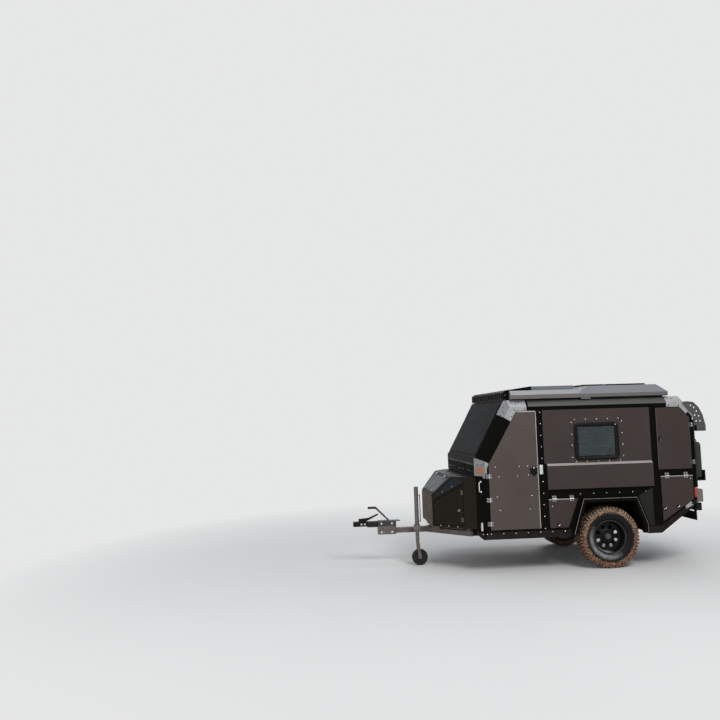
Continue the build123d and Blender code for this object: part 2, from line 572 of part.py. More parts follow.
# Tyres: a turned carcass under two rows of teeth, half a tooth apart
ROUND_SIDES = 24
LUG = 12
TEETH = 32
TOOTH = ((0.12, LUG), (0.26, 0), (0.74, 0), (0.88, LUG))      # share of the pitch, and depth
ROW_IN = 16              # rows end this far inside the side wall
BEAD_IN = 31             # bead seat, inside the side wall
BEAD_H = 16
DISH_R = RIM_R + 60      # where the side wall turns in towards the rim
half_w = TYRE_W / 2
seat = half_w - BEAD_IN


def teeth(phase, y0, y1):
    """Toothed disc round the Y axis, from y0 to y1."""
    points = []
    for i in range(TEETH):
        for share, depth in TOOTH:
            turn = radians(360 / TEETH * (i + share + phase))
            points.append(((TYRE_R - depth) * cos(turn), (TYRE_R - depth) * sin(turn)))
    return slab(points, y0, y1)


shoulder_r, row_end = TYRE_R - 2 * LUG, half_w - ROW_IN
tyre = turned([(TYRE_R - 60, -half_w), (shoulder_r, -row_end), (shoulder_r, row_end), (TYRE_R - 60, half_w)],
              ROUND_SIDES)
tyre = tyre + teeth(0, -row_end, 0) + teeth(0.5, 0, row_end)
tyre = tyre - bar((0, -TYRE_W, 0), (0, TYRE_W, 0), RIM_R, ROUND_SIDES)
DISH_OVER = DISH_R + (DISH_R - RIM_R - BEAD_H) * OVER / BEAD_IN
for sign in (-1, 1):
    stations = [(RIM_R + BEAD_H, sign * seat), (DISH_OVER, sign * (half_w + OVER))]
    tyre = tyre - turned(stations[::sign], ROUND_SIDES)

# Rims: a flanged barrel round a deep-set disc with eight openings and a hub
FLANGE_T = 8
BARREL_T = 12
DISC_T = 12
HUB_R, HUB_IN, HUB_OUT = 62, 30, 34
CAP_R, CAP_OUT = 38, 22
HUB_SIDES = 12
VENT = ((108, -20), (112, 22), (150, 26), (152, -12))
VENTS = 8
flange_end = seat + FLANGE_T
barrel = bar((0, -flange_end, 0), (0, flange_end, 0), RIM_R - FIT, ROUND_SIDES)
for sign in (-1, 1):
    flange = bar((0, sign * (seat + FIT), 0), (0, sign * flange_end, 0), RIM_R + BEAD_H - 2, ROUND_SIDES)
    barrel = barrel + flange
barrel = barrel - bar((0, -TYRE_W, 0), (0, TYRE_W, 0), RIM_R - BARREL_T, ROUND_SIDES)
disc = bar((0, -DISC_T / 2, 0), (0, DISC_T / 2, 0), RIM_R - BARREL_T / 2, ROUND_SIDES)
for i in range(VENTS):
    disc = disc - Rot(0, 360 / VENTS * i, 0) * slab(VENT, -DISC_T, DISC_T)
for name, side in SIDES:
    hub = bar((0, side * -HUB_IN, 0), (0, side * HUB_OUT, 0), HUB_R, HUB_SIDES)
    hub = hub + bar((0, side * HUB_OUT, 0), (0, side * (HUB_OUT + CAP_OUT), 0), CAP_R, HUB_SIDES)
    rim = barrel + disc + hub - rod((0, side * -2 * HUB_IN, 0), (0, side * HUB_OUT, 0), SPINDLE_R + FIT)
    save(f"rim_{name}", Pos(0, side * WHEEL_Y, TYRE_R) * rim)
    save(f"tyre_{name}", Pos(0, side * WHEEL_Y, TYRE_R) * tyre)

# Swing arms carry the spindles
ARM_IN, ARM_OUT = RAIL_Y1 + 16, LINER_IN - 4
ARM_X = ARCH_FRONT + 36
ARM_Z0, ARM_Z1 = 440, 500
ARM_END, ARM_END_HALF = 40, 50
PIVOT_X0, PIVOT_X1 = ARM_X - 10, ARM_X + 50
arms = []
for name, side in SIDES:
    outline = [(ARM_X, ARM_Z0), (ARM_X, ARM_Z1), (ARM_END, TYRE_R + ARM_END_HALF),
               (ARM_END, TYRE_R - ARM_END_HALF)]
    arm = side_slab(outline, side, ARM_IN, ARM_OUT)
    arm = arm + side_block(PIVOT_X0, PIVOT_X1, side, RAIL_Y1, ARM_IN, ARM_Z0, ARM_Z1)
    spindle_end = WHEEL_Y + HUB_OUT - 6
    arms.append(arm + rod((0, side * (ARM_IN + 4), TYRE_R), (0, side * spindle_end, TYRE_R), SPINDLE_R))
save("swing_arms", joined(arms))

# Nose box: its places along the length are shares of its depth
nose_depth = NOSE_X - FRONT_X
NOSE_TURN = (FRONT_X + 0.272 * nose_depth, 810)      # where its side turns towards the cabin
LID_TOP = (FRONT_X + 0.466 * nose_depth, 610, 1280)  # where lid and side facet meet
NOSE_EDGE_Z = 985                    # front edge of the sloped lid
SIDE_EDGE_Z = (930, 1180)            # upper edge of the side, front and rear
NOSE_WALL = 25
NOSE_SKIN = 6
NOSE_DRAW = 10
NOSE_PLANES = [((NOSE_X, 0, NOSE_EDGE_Z), unit(NOSE_EDGE_Z - LID_TOP[2], 0, LID_TOP[0] - NOSE_X)),
               ((NOSE_X, 0, 0), unit(-1, 0, 0))]
for _, side in SIDES:
    low = Vector(NOSE_X, side * NOSE_HALF, SIDE_EDGE_Z[0])
    high = Vector(NOSE_TURN[0], side * NOSE_TURN[1], SIDE_EDGE_Z[1])
    ridge = Vector(LID_TOP[0], side * LID_TOP[1], LID_TOP[2])
    normal = (high - low).cross(ridge - low).normalized()
    if normal.Z < 0:
        normal = normal * -1
    NOSE_PLANES.append((tuple(low), normal))
    NOSE_PLANES.append((tuple(low), unit(NOSE_HALF - NOSE_TURN[1], side * (NOSE_TURN[0] - NOSE_X), 0)))
    NOSE_PLANES.append((tuple(high), unit(NOSE_TURN[1] - SKIN + BEVEL, side * (FRONT_X - NOSE_TURN[0]), 0)))


def nose(inset):
    """The closed outside form of the nose box, moved in by inset except at its back."""
    form = block(NOSE_X - OVER, FRONT_X, -BIG / 4, BIG / 4, NOSE_Z0 + inset, NOSE_Z1 - inset)
    for point, direction in NOSE_PLANES:
        form = trim(form, Vector(*point) - direction * inset, direction)
    return form


def on_plane(plane, outline, amount):
    """Prism through a plane over an outline in it, its edges moved out by amount."""
    foot = plane * Pos(0, 0, -3 * NOSE_WALL)
    return extrude(foot * outline_face(outline, amount), 6 * NOSE_WALL, dir=plane.z_dir)


nose_skin = nose(0) - nose(NOSE_SKIN)
nose_core = nose(NOSE_SKIN) - nose(NOSE_WALL)
nose_box = nose(0) - nose(NOSE_WALL)
lid_plane = Plane(origin=(NOSE_X, 0, NOSE_EDGE_Z), x_dir=(0, -1, 0), z_dir=NOSE_PLANES[0][1])
LID = ((-400, 30), (400, 30), (520, 318), (-520, 318))        # across, and up the slope


def nose_leaf(plane, outline):
    """Door or lid cut from the wall of the nose box, a little smaller inside."""
    return (nose_skin & on_plane(plane, outline, 0)) + (nose_core & on_plane(plane, outline, -NOSE_DRAW))


lid = nose_leaf(lid_plane, LID)
LID_PIN = 10             # lid hinge above the slope
LID_HINGES = (-300, 300)
pin_up = LID[2][1] + 8
lid_pin = lid_plane.from_local_coords(Vector(0, pin_up, LID_PIN))
for y in LID_HINGES:
    a, b = (lid_pin.X, y - HINGE_LEN / 2, lid_pin.Z), (lid_pin.X, y + HINGE_LEN / 2, lid_pin.Z)
    leaf = lid_plane * Pos(y, pin_up - LEAF_W / 2 - 4, LEAF_T / 2) * Box(HINGE_LEN, LEAF_W + 8, LEAF_T)
    lid = lid + hinge_barrel(a, b, y == LID_HINGES[0]) + leaf
save("nose_lid", lid)
nose_box = nose_box - on_plane(lid_plane, LID, GAP)

# Side doors of the nose box, hinged on their rear edge
side_run = Vector(NOSE_TURN[0] - NOSE_X, NOSE_TURN[1] - NOSE_HALF, 0)
side_len = side_run.length
NOSE_DOOR = ((30, 600), (30, 905), (side_len - 30, 1140), (side_len - 30, 600))   # along the side, and height
NOSE_HINGES = (680, 1040)
NOSE_PIN = (side_len - 24, 10)       # hinge pin along the side and outside it
NOSE_LATCH = (side_len - 90, 800)    # latch along the side, and its height
for name, side in SIDES:
    direction = Vector(side_run.X, side * side_run.Y, 0).normalized()
    outward = Vector(-direction.Y * side, direction.X * side, 0)
    plane = Plane(origin=(NOSE_X, side * NOSE_HALF, 0), x_dir=direction, z_dir=outward)
    up = 1 if plane.y_dir.Z > 0 else -1
    outline = [(u, up * z) for u, z in NOSE_DOOR]
    door = nose_leaf(plane, outline)
    pin = plane.from_local_coords(Vector(NOSE_PIN[0], 0, NOSE_PIN[1]))
    for z in NOSE_HINGES:
        low, high = z - HINGE_LEN / 2, z + HINGE_LEN / 2
        door = door + hinge_barrel((pin.X, pin.Y, low), (pin.X, pin.Y, high), z == NOSE_HINGES[0])
        leaf = Box(LEAF_W, HINGE_LEN, LEAF_T)
        door = door + plane * Pos(NOSE_PIN[0] - LEAF_W / 2, up * z, LEAF_T / 2) * leaf
    latch = Pos(NOSE_LATCH[0], up * NOSE_LATCH[1], LATCH_OUT / 2) * Box(LATCH, LATCH, LATCH_OUT)
    save(f"nose_door_{name}", door + plane * latch)
    nose_box = nose_box - on_plane(plane, outline, GAP)
save("nose_box", nose_box)

# Roof gear: a ribbed cowl in front, a raised deck with the awning case beside it, and the rear lid
GEAR_WALL = 20
COWL_X0, COWL_X1, COWL_HALF = -1345, -950, 900
COWL_FRONT_Z, DECK_Z = 2360, 2437
DECK_HALF = 850
SPLIT_X = -344
LID_X1 = 915
LID_HALF, LID_BAND_Z, LID_Z, LID_IN = 985, 2318, 2425, 130
LID_BEVELS = (190, 98)               # run of the front and the rear bevel
SOLAR_T = 22


def cowl_form(inset):
    """Form of the cowl, moved in by inset, down through its base."""
    low = GEAR_Z - (OVER if inset else 0)
    x0, x1 = COWL_X0 + inset, COWL_X1 - inset
    return slab([(x0, low), (x0, COWL_FRONT_Z - inset), (x0 + 40, COWL_FRONT_Z + 30 - inset),
                 (x1, DECK_Z - inset), (x1, low)], inset - COWL_HALF, COWL_HALF - inset)


def lid_form(inset):
    """Form of the rear lid with its four bevels, moved in by inset, down through its base."""
    low = GEAR_Z - (OVER if inset else 0)
    half, top = LID_HALF - inset, LID_Z - inset
    band, run = LID_BAND_Z - inset / 2, LID_IN
    section = [(half, low), (half, band), (half - run, top), (run - half, top), (-half, band), (-half, low)]
    form = bar_x(section, SPLIT_X + inset, LID_X1 - inset)
    rise = top - band
    form = trim(form, (SPLIT_X + inset, 0, band), unit(-rise, 0, LID_BEVELS[0]))
    return trim(form, (LID_X1 - inset, 0, band), unit(rise, 0, LID_BEVELS[1]))


cowl = cowl_form(0) - cowl_form(GEAR_WALL)
grooves = []
COWL_RIBS = 18
GROOVE_IN = 12           # grooves end this far from the edges of the cowl's front
step = 2 * COWL_HALF / COWL_RIBS
for i in range(COWL_RIBS):
    y = (i + 0.5) * step - COWL_HALF
    grooves.append(block(COWL_X0 - OVER, COWL_X0 + SLOT_DEEP, y - step / 5, y + step / 5,
                         GEAR_Z + GROOVE_IN, COWL_FRONT_Z - GROOVE_IN))
save("roof_cowl", cowl - grooves)
deck = block(COWL_X1, SPLIT_X, -DECK_HALF, DECK_HALF, GEAR_Z, DECK_Z)
deck = deck - block(COWL_X1 + GEAR_WALL, SPLIT_X - GEAR_WALL, GEAR_WALL - DECK_HALF, DECK_HALF - GEAR_WALL,
                    GEAR_Z - OVER, DECK_Z - GEAR_WALL)
save("roof_lid", lid_form(0) - lid_form(GEAR_WALL) + deck)
CASE_X0, CASE_IN, CASE_OUT, CASE_BAND_Z, CASE_Z = -1263, 902, 992, 2323, 2381
case = [(-CASE_IN, GEAR_Z), (-CASE_OUT, GEAR_Z), (-CASE_OUT, CASE_BAND_Z),
        (CASE_Z - CASE_BAND_Z - CASE_OUT, CASE_Z), (-CASE_IN, CASE_Z)]
save("awning_case", bar_x(case, CASE_X0, SPLIT_X - 2))
SOLAR = ((-150, 134), (176, 736))    # x0 and x1 of each panel
SOLAR_HALF = 700
solar = [block(x0, x1, -SOLAR_HALF, SOLAR_HALF, LID_Z, LID_Z + SOLAR_T) for x0, x1 in SOLAR]
save("solar_panels", joined(solar))

# Lamps: red at the rear corners, and amber markers on the front castings
LAMP_T = 10
BOX_X0, BOX_X1, BOX_Z0, BOX_Z1 = REAR_X + 2, REAR_X + 97, 820, 990
BOX_Y0, BOX_Y1 = 780, 970
LENS_IN = 20
AMBER_Z, AMBER_H, AMBER_W = 1335, 96, 116
TAIL_X0, TAIL_X1, TAIL_OUT, TAIL_Z0, TAIL_Z1 = REAR_X - 36, REAR_X - 2, 14, 890, 1020
tails, markers, lamp_boxes = [], [], []
corners = []
for name, side in SIDES:
    middle_at = (FRONT_X + BEVEL / 2, side * (SKIN - BEVEL / 2), 0)
    corner = Plane(origin=middle_at, x_dir=(0, 0, 1), z_dir=(-1, side, 0))
    corners.append(corner)
    markers.append(corner * Pos(AMBER_Z, 0, CAST + LAMP_T / 2) * Box(AMBER_H, AMBER_W, LAMP_T))
    tails.append(side_block(TAIL_X0, TAIL_X1, side, SKIN, SKIN + TAIL_OUT, TAIL_Z0, TAIL_Z1))
    tails.append(side_block(BOX_X1, BOX_X1 + LAMP_T, side, BOX_Y0 + LENS_IN, BOX_Y1 - LENS_IN,
                            BOX_Z0 + LENS_IN, BOX_Z1 - LENS_IN))
    lamp_boxes.append(side_block(BOX_X0, BOX_X1, side, BOX_Y0, BOX_Y1, BOX_Z0, BOX_Z1))
save("tail_lamps", joined(tails))
save("marker_lamps", joined(markers))
save("lamp_boxes", joined(lamp_boxes))

# Oval lamps and grab handles on the front corners, and the plate beside each entry latch
OVAL_Z, OVAL_LEN, OVAL_W, OVAL_END = 600, 126, 40, 12
HAND_Z, HAND_LEN, HAND_T, HAND_OUT = 1121, 146, 14, 39
STRIKE = (-899, 1326, 42, 120)       # x, z, width, height
for (name, side), corner in zip(SIDES, corners):
    quarter = ((OVAL_LEN / 2, OVAL_END / 2), (OVAL_LEN / 2 - OVAL_END, OVAL_W / 2))
    outline = [(u, v) for u, v in quarter] + [(-u, v) for u, v in quarter[::-1]]
    outline = outline + [(-u, -v) for u, v in outline]
    oval = extrude(outline_face(outline), LAMP_T / 2, both=True)
    fittings.append(corner * Pos(OVAL_Z, 0, LAMP_T / 2) * oval)
    hand = Box(HAND_LEN, HAND_T, HAND_T)
    for end in (-1, 1):
        hand = hand + Pos(end * (HAND_LEN - HAND_T) / 2, 0, -HAND_OUT / 2) * Box(HAND_T, HAND_T, HAND_OUT)
    fittings.append(corner * Pos(HAND_Z, 0, HAND_OUT) * hand)
    x, z, width, height = STRIKE
    fittings.append(side_block(x - width / 2, x + width / 2, side, SKIN, SKIN + CAST,
                               z - height / 2, z + height / 2))
save("fittings", joined(fittings))

# Rear brackets: a perforated gusset on each side and the bar between them
GUSSET_Y0, GUSSET_Y1 = 976, 984
STUB_Y0, STUB_Y1 = 700, 740
GUSSET_HOLE_R = 12
BAR_X0, BAR_X1, BAR_LOW, BAR_TOP = REAR_X + 66, REAR_X + 190, 1770, 1850
GUSSET = ((1110, 2170), (1180, 2176), (1262, 2165), (1334, 2095), (1385, 1990), (BAR_X1, BAR_TOP),
          (1200, BAR_TOP))
HOLE_AT = ((1225, 2120), (1268, 2092), (1302, 2040), (1330, 1975), (1345, 1905), (1275, 1985), (1290, 1905))
brackets = [block(BAR_X0, BAR_X1, -GUSSET_Y1, GUSSET_Y1, BAR_LOW, BAR_TOP)]
for name, side in SIDES:
    gusset = side_slab(GUSSET, side, GUSSET_Y0, GUSSET_Y1) - hull(-REAR_STRIP - 1)
    for x, z in HOLE_AT:
        ends = (x, side * (GUSSET_Y0 - OVER), z), (x, side * (GUSSET_Y1 + OVER), z)
        gusset = gusset - bar(*ends, GUSSET_HOLE_R, 6)
    brackets.append(gusset)
    brackets.append(side_block(REAR_X, BAR_X0, side, STUB_Y0, STUB_Y1, BAR_LOW, BAR_TOP))
save("rear_brackets", joined(brackets))

# Rear carrier: bumper bar on the chassis and the shelf that holds the can
CAN_X0, CAN_X1, CAN_Z0, CAN_Z1 = REAR_X + 22, REAR_X + 138, 1122, 1660
CAN_Y0, CAN_Y1 = 600, 934
CAN_NECK = 40            # height of the narrower top
NECK_IN = 30
SHELF_T = 20
SHELF_LIP = 120
BUMPER_X0, BUMPER_X1, BUMPER_Z0, BUMPER_Z1 = REAR_X + 6, REAR_X + 91, 702, 802
STAY_T, STAY_H = 20, 80
shelf_x1, shelf_y0, shelf_y1 = CAN_X1 + SHELF_T, -CAN_Y1 - SHELF_T, SHELF_T - CAN_Y0
carrier = block(REAR_X, shelf_x1, shelf_y0, shelf_y1, CAN_Z0 - SHELF_T, CAN_Z0)
carrier = carrier + block(CAN_X1, shelf_x1, shelf_y0, shelf_y1, CAN_Z0, CAN_Z0 + SHELF_LIP)
carrier = carrier + block(BUMPER_X0, BUMPER_X1, -SILL_IN, SILL_IN, BUMPER_Z0, BUMPER_Z1)
for _, side in SIDES:
    carrier = carrier + side_block(REAR_X - 2 * CROSS_W, REAR_X + STAY_T, side, RAIL_Y1 + 1,
                                   RAIL_Y1 + 1 + STAY_T, BUMPER_Z0, BUMPER_Z0 + STAY_H)
save("rear_carrier", carrier)
can = block(CAN_X0, CAN_X1 - 2, -CAN_Y1, -CAN_Y0, CAN_Z0, CAN_Z1 - CAN_NECK)
neck = block(CAN_X0 + NECK_IN, CAN_X1 - NECK_IN, NECK_IN - CAN_Y1, -CAN_Y0 - NECK_IN,
             CAN_Z1 - CAN_NECK, CAN_Z1)
save("fuel_can", can + neck)
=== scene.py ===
from math import cos, hypot, pi, radians, sin

import bmesh
import bpy
from mathutils import Matrix, Vector
from mathutils.bvhtree import BVHTree


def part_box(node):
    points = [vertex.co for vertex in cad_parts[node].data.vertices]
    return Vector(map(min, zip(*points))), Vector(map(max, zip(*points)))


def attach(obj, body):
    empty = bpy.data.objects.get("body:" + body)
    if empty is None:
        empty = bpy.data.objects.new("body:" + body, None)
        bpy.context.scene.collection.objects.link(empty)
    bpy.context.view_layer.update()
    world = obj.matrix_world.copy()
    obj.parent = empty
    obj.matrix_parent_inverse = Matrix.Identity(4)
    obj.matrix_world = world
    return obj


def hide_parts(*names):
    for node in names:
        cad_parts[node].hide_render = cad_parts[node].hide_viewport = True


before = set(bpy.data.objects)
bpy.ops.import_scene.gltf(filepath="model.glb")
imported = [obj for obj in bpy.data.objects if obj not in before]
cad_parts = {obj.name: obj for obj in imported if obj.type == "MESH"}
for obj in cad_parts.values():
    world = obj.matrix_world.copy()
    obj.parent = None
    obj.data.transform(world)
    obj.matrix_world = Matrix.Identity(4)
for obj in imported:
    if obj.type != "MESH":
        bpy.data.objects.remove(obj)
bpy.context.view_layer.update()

# Metres. X runs rearwards from the axle, Y to the right-hand side, Z up from the ground.
TYRE_LO, TYRE_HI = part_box("tyre_left")
AXLE_X = (TYRE_LO.x + TYRE_HI.x) / 2
TYRE_R = (TYRE_HI.z - TYRE_LO.z) / 2
WHEEL_Y = -(TYRE_LO.y + TYRE_HI.y) / 2
SHIFT = Vector((AXLE_X, 0, 0))
ALONG, ACROSS, UP = Vector((1, 0, 0)), Vector((0, 1, 0)), Vector((0, 0, 1))
BOTH = (-1, 1)
SIDES = (("left", -1), ("right", 1))
FACE = 1.0               # outer face of the doors, from the middle plane
SKIN = 0.992             # outer face of the black frame
PIN_Y = 1.009            # hinge pins
BLACK_BELOW = 1.046      # the lowest side panels
CORNER_STRIP_X = 1.2265  # the painted strip of the rear castings lies behind this
CORNER_STRIP_Z = 1.926   # and below this
OVERRUN_CAP_Z = 0.535    # the overrun housing is painted above this
DUST = (0.26, 0.17, 0.105)
BACKDROP = (0.79, 0.795, 0.80, 1.0)


# Materials

class Graph:
    """Node tree of one material around its shader."""

    def __init__(self, name):
        self.material = bpy.data.materials.new(name)
        self.material.use_nodes = True
        self.tree = self.material.node_tree
        self.shader = self.tree.nodes["Principled BSDF"]
        self.place = self.node("ShaderNodeTexCoord").outputs["Object"]

    def node(self, kind, settings=None, **inputs):
        """New node; inputs are numbers or sockets, with _ for a blank in their names."""
        made = self.tree.nodes.new(kind)
        for key, value in (settings or {}).items():
            setattr(made, key, value)
        for key, value in inputs.items():
            self.feed(made.inputs[key.replace("_", " ")], value)
        return made

    def feed(self, socket, value):
        if isinstance(value, bpy.types.NodeSocket):
            self.tree.links.new(value, socket)
        else:
            socket.default_value = value

    def combine(self, kind, settings, *values):
        """Outputs of a new node whose first inputs are fed in order."""
        made = self.node(kind, settings)
        for socket, value in zip(made.inputs, values):
            self.feed(socket, value)
        return made.outputs

    def math(self, what, a, b):
        return self.combine("ShaderNodeMath", {"operation": what, "use_clamp": True}, a, b)[0]

    def vector(self, what, *values):
        return self.combine("ShaderNodeVectorMath", {"operation": what}, *values)

    def times(self, *values):
        product = values[0]
        for value in values[1:]:
            product = self.math("MULTIPLY", product, value)
        return product

    def noise(self, scale, detail=4.0, rough=0.55, place=None):
        made = self.node("ShaderNodeTexNoise", None, Scale=scale, Detail=detail, Roughness=rough)
        self.feed(made.inputs["Vector"], place or self.place)
        return made.outputs["Fac"]

    def stretch(self, scale):
        return self.node("ShaderNodeMapping", None, Vector=self.place, Scale=scale).outputs[0]

    def ramp(self, value, low, high, to_low=0.0, to_high=1.0):
        made = self.node("ShaderNodeMapRange", {"clamp": True}, Value=value, From_Min=low, From_Max=high,
                         To_Min=to_low, To_Max=to_high)
        return made.outputs[0]

    def mix(self, share, a, b):
        made = self.node("ShaderNodeMix", {"data_type": "RGBA"})
        for index, value in ((0, share), (6, a), (7, b)):
            self.feed(made.inputs[index], value if not isinstance(value, tuple) else (*value, 1.0))
        return made.outputs[2]

    def part(self, vector, axis):
        return self.node("ShaderNodeSeparateXYZ", None, Vector=vector).outputs[axis]

    def height(self):
        return self.part(self.place, "Z")

    def facing(self, axis):
        """How far a face looks along an axis, -1 to 1."""
        return self.part(self.node("ShaderNodeNewGeometry").outputs["Normal"], axis)

    def reach(self, centre, flat):
        """Distance from a centre, measured only along the axes where flat is 1."""
        away = self.vector("SUBTRACT", self.place, centre)["Vector"]
        return self.vector("LENGTH", self.vector("MULTIPLY", away, flat)["Vector"])["Value"]

    def slant(self, low, high):
        """1 at the lower front of the wheel and 0 at its upper rear; low and high are X plus Z."""
        value = self.vector("DOT_PRODUCT", self.place, (1.0, 0.0, 1.0))["Value"]
        return self.ramp(value, low + AXLE_X, high + AXLE_X, 1.0, 0.0)

    def bump(self, value, distance, strength=1.0):
        made = self.node("ShaderNodeBump", None, Height=value, Distance=distance, Strength=strength)
        self.feed(self.shader.inputs["Normal"], made.outputs[0])

    def set(self, **inputs):
        for key, value in inputs.items():
            if isinstance(value, tuple):
                value = (*value, 1.0)
            self.feed(self.shader.inputs[key.replace("_", " ")], value)


def shade(colour, factor):
    return tuple(min(1.0, c * factor) for c in colour)


def paint(name, colour, rough, patch=0.10, grain=0.0001, dust=0.10, metallic=0.0, spec=0.3, ior=1.45,
          top=None):
    """Powder coat with faint patches, fine grain, dust that gathers low down, and a second tone on faces that
    look up.
    """
    g = Graph(name)
    base = g.mix(g.ramp(g.noise(2.2, 6.0), 0.3, 0.7), shade(colour, 1 - patch), shade(colour, 1 + patch))
    if top:
        base = g.mix(g.ramp(g.facing("Z"), 0.35, 0.50), base, top)
    low = g.ramp(g.height(), 0.35, 1.25, 1.0, 0.25)
    haze = g.ramp(g.noise(5.0, 8.0, 0.65), 0.35, 0.75)
    specks = g.ramp(g.noise(240.0, 6.0, 0.7), 0.45, 0.75, 0.45, 1.0)
    film = g.times(low, haze, specks, dust)
    g.set(Base_Color=g.mix(film, base, DUST), Metallic=metallic, Specular_IOR_Level=spec, IOR=ior)
    g.set(Roughness=g.math("ADD", g.ramp(g.noise(7.0, 5.0), 0.25, 0.75, rough - 0.05, rough + 0.06), film))
    g.bump(g.noise(1400.0, 2.0), grain)
    return g.material


def metal(name, colour, rough, brush, spread, dust, metallic):
    """Brushed or cast metal; brush is the scale of its marks along each axis."""
    g = Graph(name)
    marks = g.noise(1.0, 6.0, 0.6, g.stretch(brush))
    base = g.mix(g.ramp(marks, 0.3, 0.7), shade(colour, 1 - spread), shade(colour, 1 + spread * 0.5))
    low = g.ramp(g.height(), 0.35, 1.4, 1.0, 0.1)
    film = g.times(low, g.ramp(g.noise(30.0, 8.0, 0.7), 0.45, 0.75), dust)
    g.set(Base_Color=g.mix(film, base, DUST), Metallic=metallic)
    g.set(Roughness=g.math("ADD", g.ramp(g.noise(6.0, 6.0), 0.3, 0.7, rough - 0.06, rough + 0.08), film))
    g.bump(marks, 0.00012, 0.5)
    return g.material


def casting(name):
    """Cast corner: bright and mottled, with painted shade on faces that look forward; the strip down the rear
    corner is painted black.
    """
    g = Graph(name)
    grain = g.noise(60.0, 8.0, 0.7)
    base = g.mix(g.ramp(grain, 0.35, 0.65), (0.27, 0.27, 0.275), (0.48, 0.48, 0.485))
    base = g.mix(g.ramp(g.noise(11.0, 6.0), 0.52, 0.75, 0.0, 0.5), base, (0.25, 0.25, 0.255))
    # Painted shade: faces that look forward are darkened towards grey-blue.
    base = g.mix(g.ramp(g.facing("X"), -0.80, -0.30, 0.6, 0.0), base, (0.125, 0.132, 0.140))
    strip = g.times(g.math("GREATER_THAN", g.part(g.place, "X"), CORNER_STRIP_X + AXLE_X),
                    g.math("LESS_THAN", g.height(), CORNER_STRIP_Z))
    g.set(Base_Color=g.mix(strip, base, (0.006, 0.006, 0.006)), Metallic=g.ramp(strip, 0.0, 1.0, 0.4, 0.0))
    g.set(Roughness=g.ramp(grain, 0.3, 0.7, 0.36, 0.5), Specular_IOR_Level=0.3)
    g.bump(grain, 0.0004, 0.6)
    return g.material


def side_paint(name):
    """Panel grey above; the lowest panels behind the wheels are black."""
    g = Graph(name)
    base = g.mix(g.ramp(g.noise(2.2, 6.0), 0.3, 0.7), (0.0405, 0.0298, 0.0265), (0.0490, 0.0370, 0.0326))
    base = g.mix(g.math("LESS_THAN", g.height(), BLACK_BELOW), base, (0.0105, 0.0102, 0.0090))
    g.set(Base_Color=base, Specular_IOR_Level=0.2)
    g.set(Roughness=g.ramp(g.noise(7.0, 5.0), 0.25, 0.75, 0.43, 0.54))
    g.bump(g.noise(1400.0, 2.0), 0.0001)
    return g.material


def galvanised(name, cap=None):
    """Dipped zinc: spangles, dull patches and brown dirt; above the height cap it is painted slate."""
    g = Graph(name)
    spangle = g.node("ShaderNodeTexVoronoi", None, Scale=70.0, Vector=g.place).outputs["Color"]
    tone = g.node("ShaderNodeSeparateColor", None, Color=spangle).outputs[0]
    base = g.mix(tone, (0.105, 0.092, 0.084), (0.190, 0.174, 0.162))
    base = g.mix(g.ramp(g.noise(7.0, 7.0, 0.65), 0.48, 0.72, 0.0, 0.7), base, (0.105, 0.062, 0.042))
    if cap:
        base = g.mix(g.math("GREATER_THAN", g.height(), cap), base, (0.038, 0.045, 0.047))
    g.set(Base_Color=base, Metallic=0.4, Roughness=g.ramp(tone, 0.0, 1.0, 0.42, 0.62))
    g.bump(g.noise(160.0, 4.0), 0.0003)
    return g.material


def rubber(name):
    g = Graph(name)
    film = g.ramp(g.noise(26.0, 8.0, 0.7), 0.5, 0.8, 0.0, 0.22)
    g.set(Base_Color=g.mix(film, (0.014, 0.014, 0.014), shade(DUST, 0.6)), Specular_IOR_Level=0.3)
    g.set(Roughness=g.ramp(g.noise(12.0), 0.3, 0.7, 0.54, 0.72))
    g.bump(g.noise(700.0, 3.0), 0.0002)
    return g.material


def tyre_rubber(name, lug=False):
    """Black rubber with tan and orange mud, thick on the lugs, thinning down the wall; near the rim a grey
    ring of scuffs with a painted sheen, kept to the lower front.
    """
    g = Graph(name)
    high = g.ramp(g.height(), 0.30, 0.78)
    tone = g.mix(high, (0.300, 0.112, 0.045), (0.375, 0.255, 0.160))
    damp = g.mix(high, (0.115, 0.046, 0.022), (0.210, 0.110, 0.060))
    tone = g.mix(g.ramp(g.noise(24.0, 6.0, 0.7), 0.40, 0.58), tone, damp)
    tone = g.mix(g.ramp(g.noise(110.0, 5.0), 0.52, 0.60), tone, (0.56, 0.45, 0.35))
    if lug:
        mud = g.ramp(g.noise(62.0, 9.0, 0.8), 0.43, 0.53)
        side = (0.016, 0.010, 0.006)
    else:
        reach = g.reach((AXLE_X, 0.0, TYRE_R), (1.0, 0.0, 1.0))
        load = g.ramp(reach, 0.262, 0.356, 0.0, 0.42)
        mud = g.ramp(g.math("ADD", g.noise(72.0, 9.0, 0.8), load), 0.76, 0.86)
        mud = g.times(mud, g.ramp(reach, 0.364, 0.373, 1.0, 0.22))
        # Grey ring near the rim: scuffed rubber, brightened as a painted sheen at the lower front of the
        # wheel.
        ring = g.times(g.ramp(reach, 0.222, 0.240), g.ramp(reach, 0.262, 0.300, 1.0, 0.0))
        painted_sheen_and_scuffs = g.times(g.slant(0.12, 0.36), g.ramp(g.noise(26.0, 6.0, 0.7), 0.34, 0.62, 0.35, 1.0))
        # Splashes of mud on the wall.
        splash_and_painted_light = g.ramp(g.noise(30.0, 7.0, 0.7), 0.4, 0.75, 0.0, 0.35)
        wall = g.mix(splash_and_painted_light, (0.0045, 0.0043, 0.0040), (0.032, 0.021, 0.014))
        side = g.mix(g.times(ring, painted_sheen_and_scuffs), wall, (0.30, 0.30, 0.305))
    g.set(Base_Color=g.mix(mud, side, tone), Specular_IOR_Level=0.16)
    g.set(Roughness=g.ramp(mud, 0.0, 1.0, 0.5, 0.95))
    g.bump(g.noise(120.0, 6.0, 0.7), 0.003, 0.6)
    return g.material


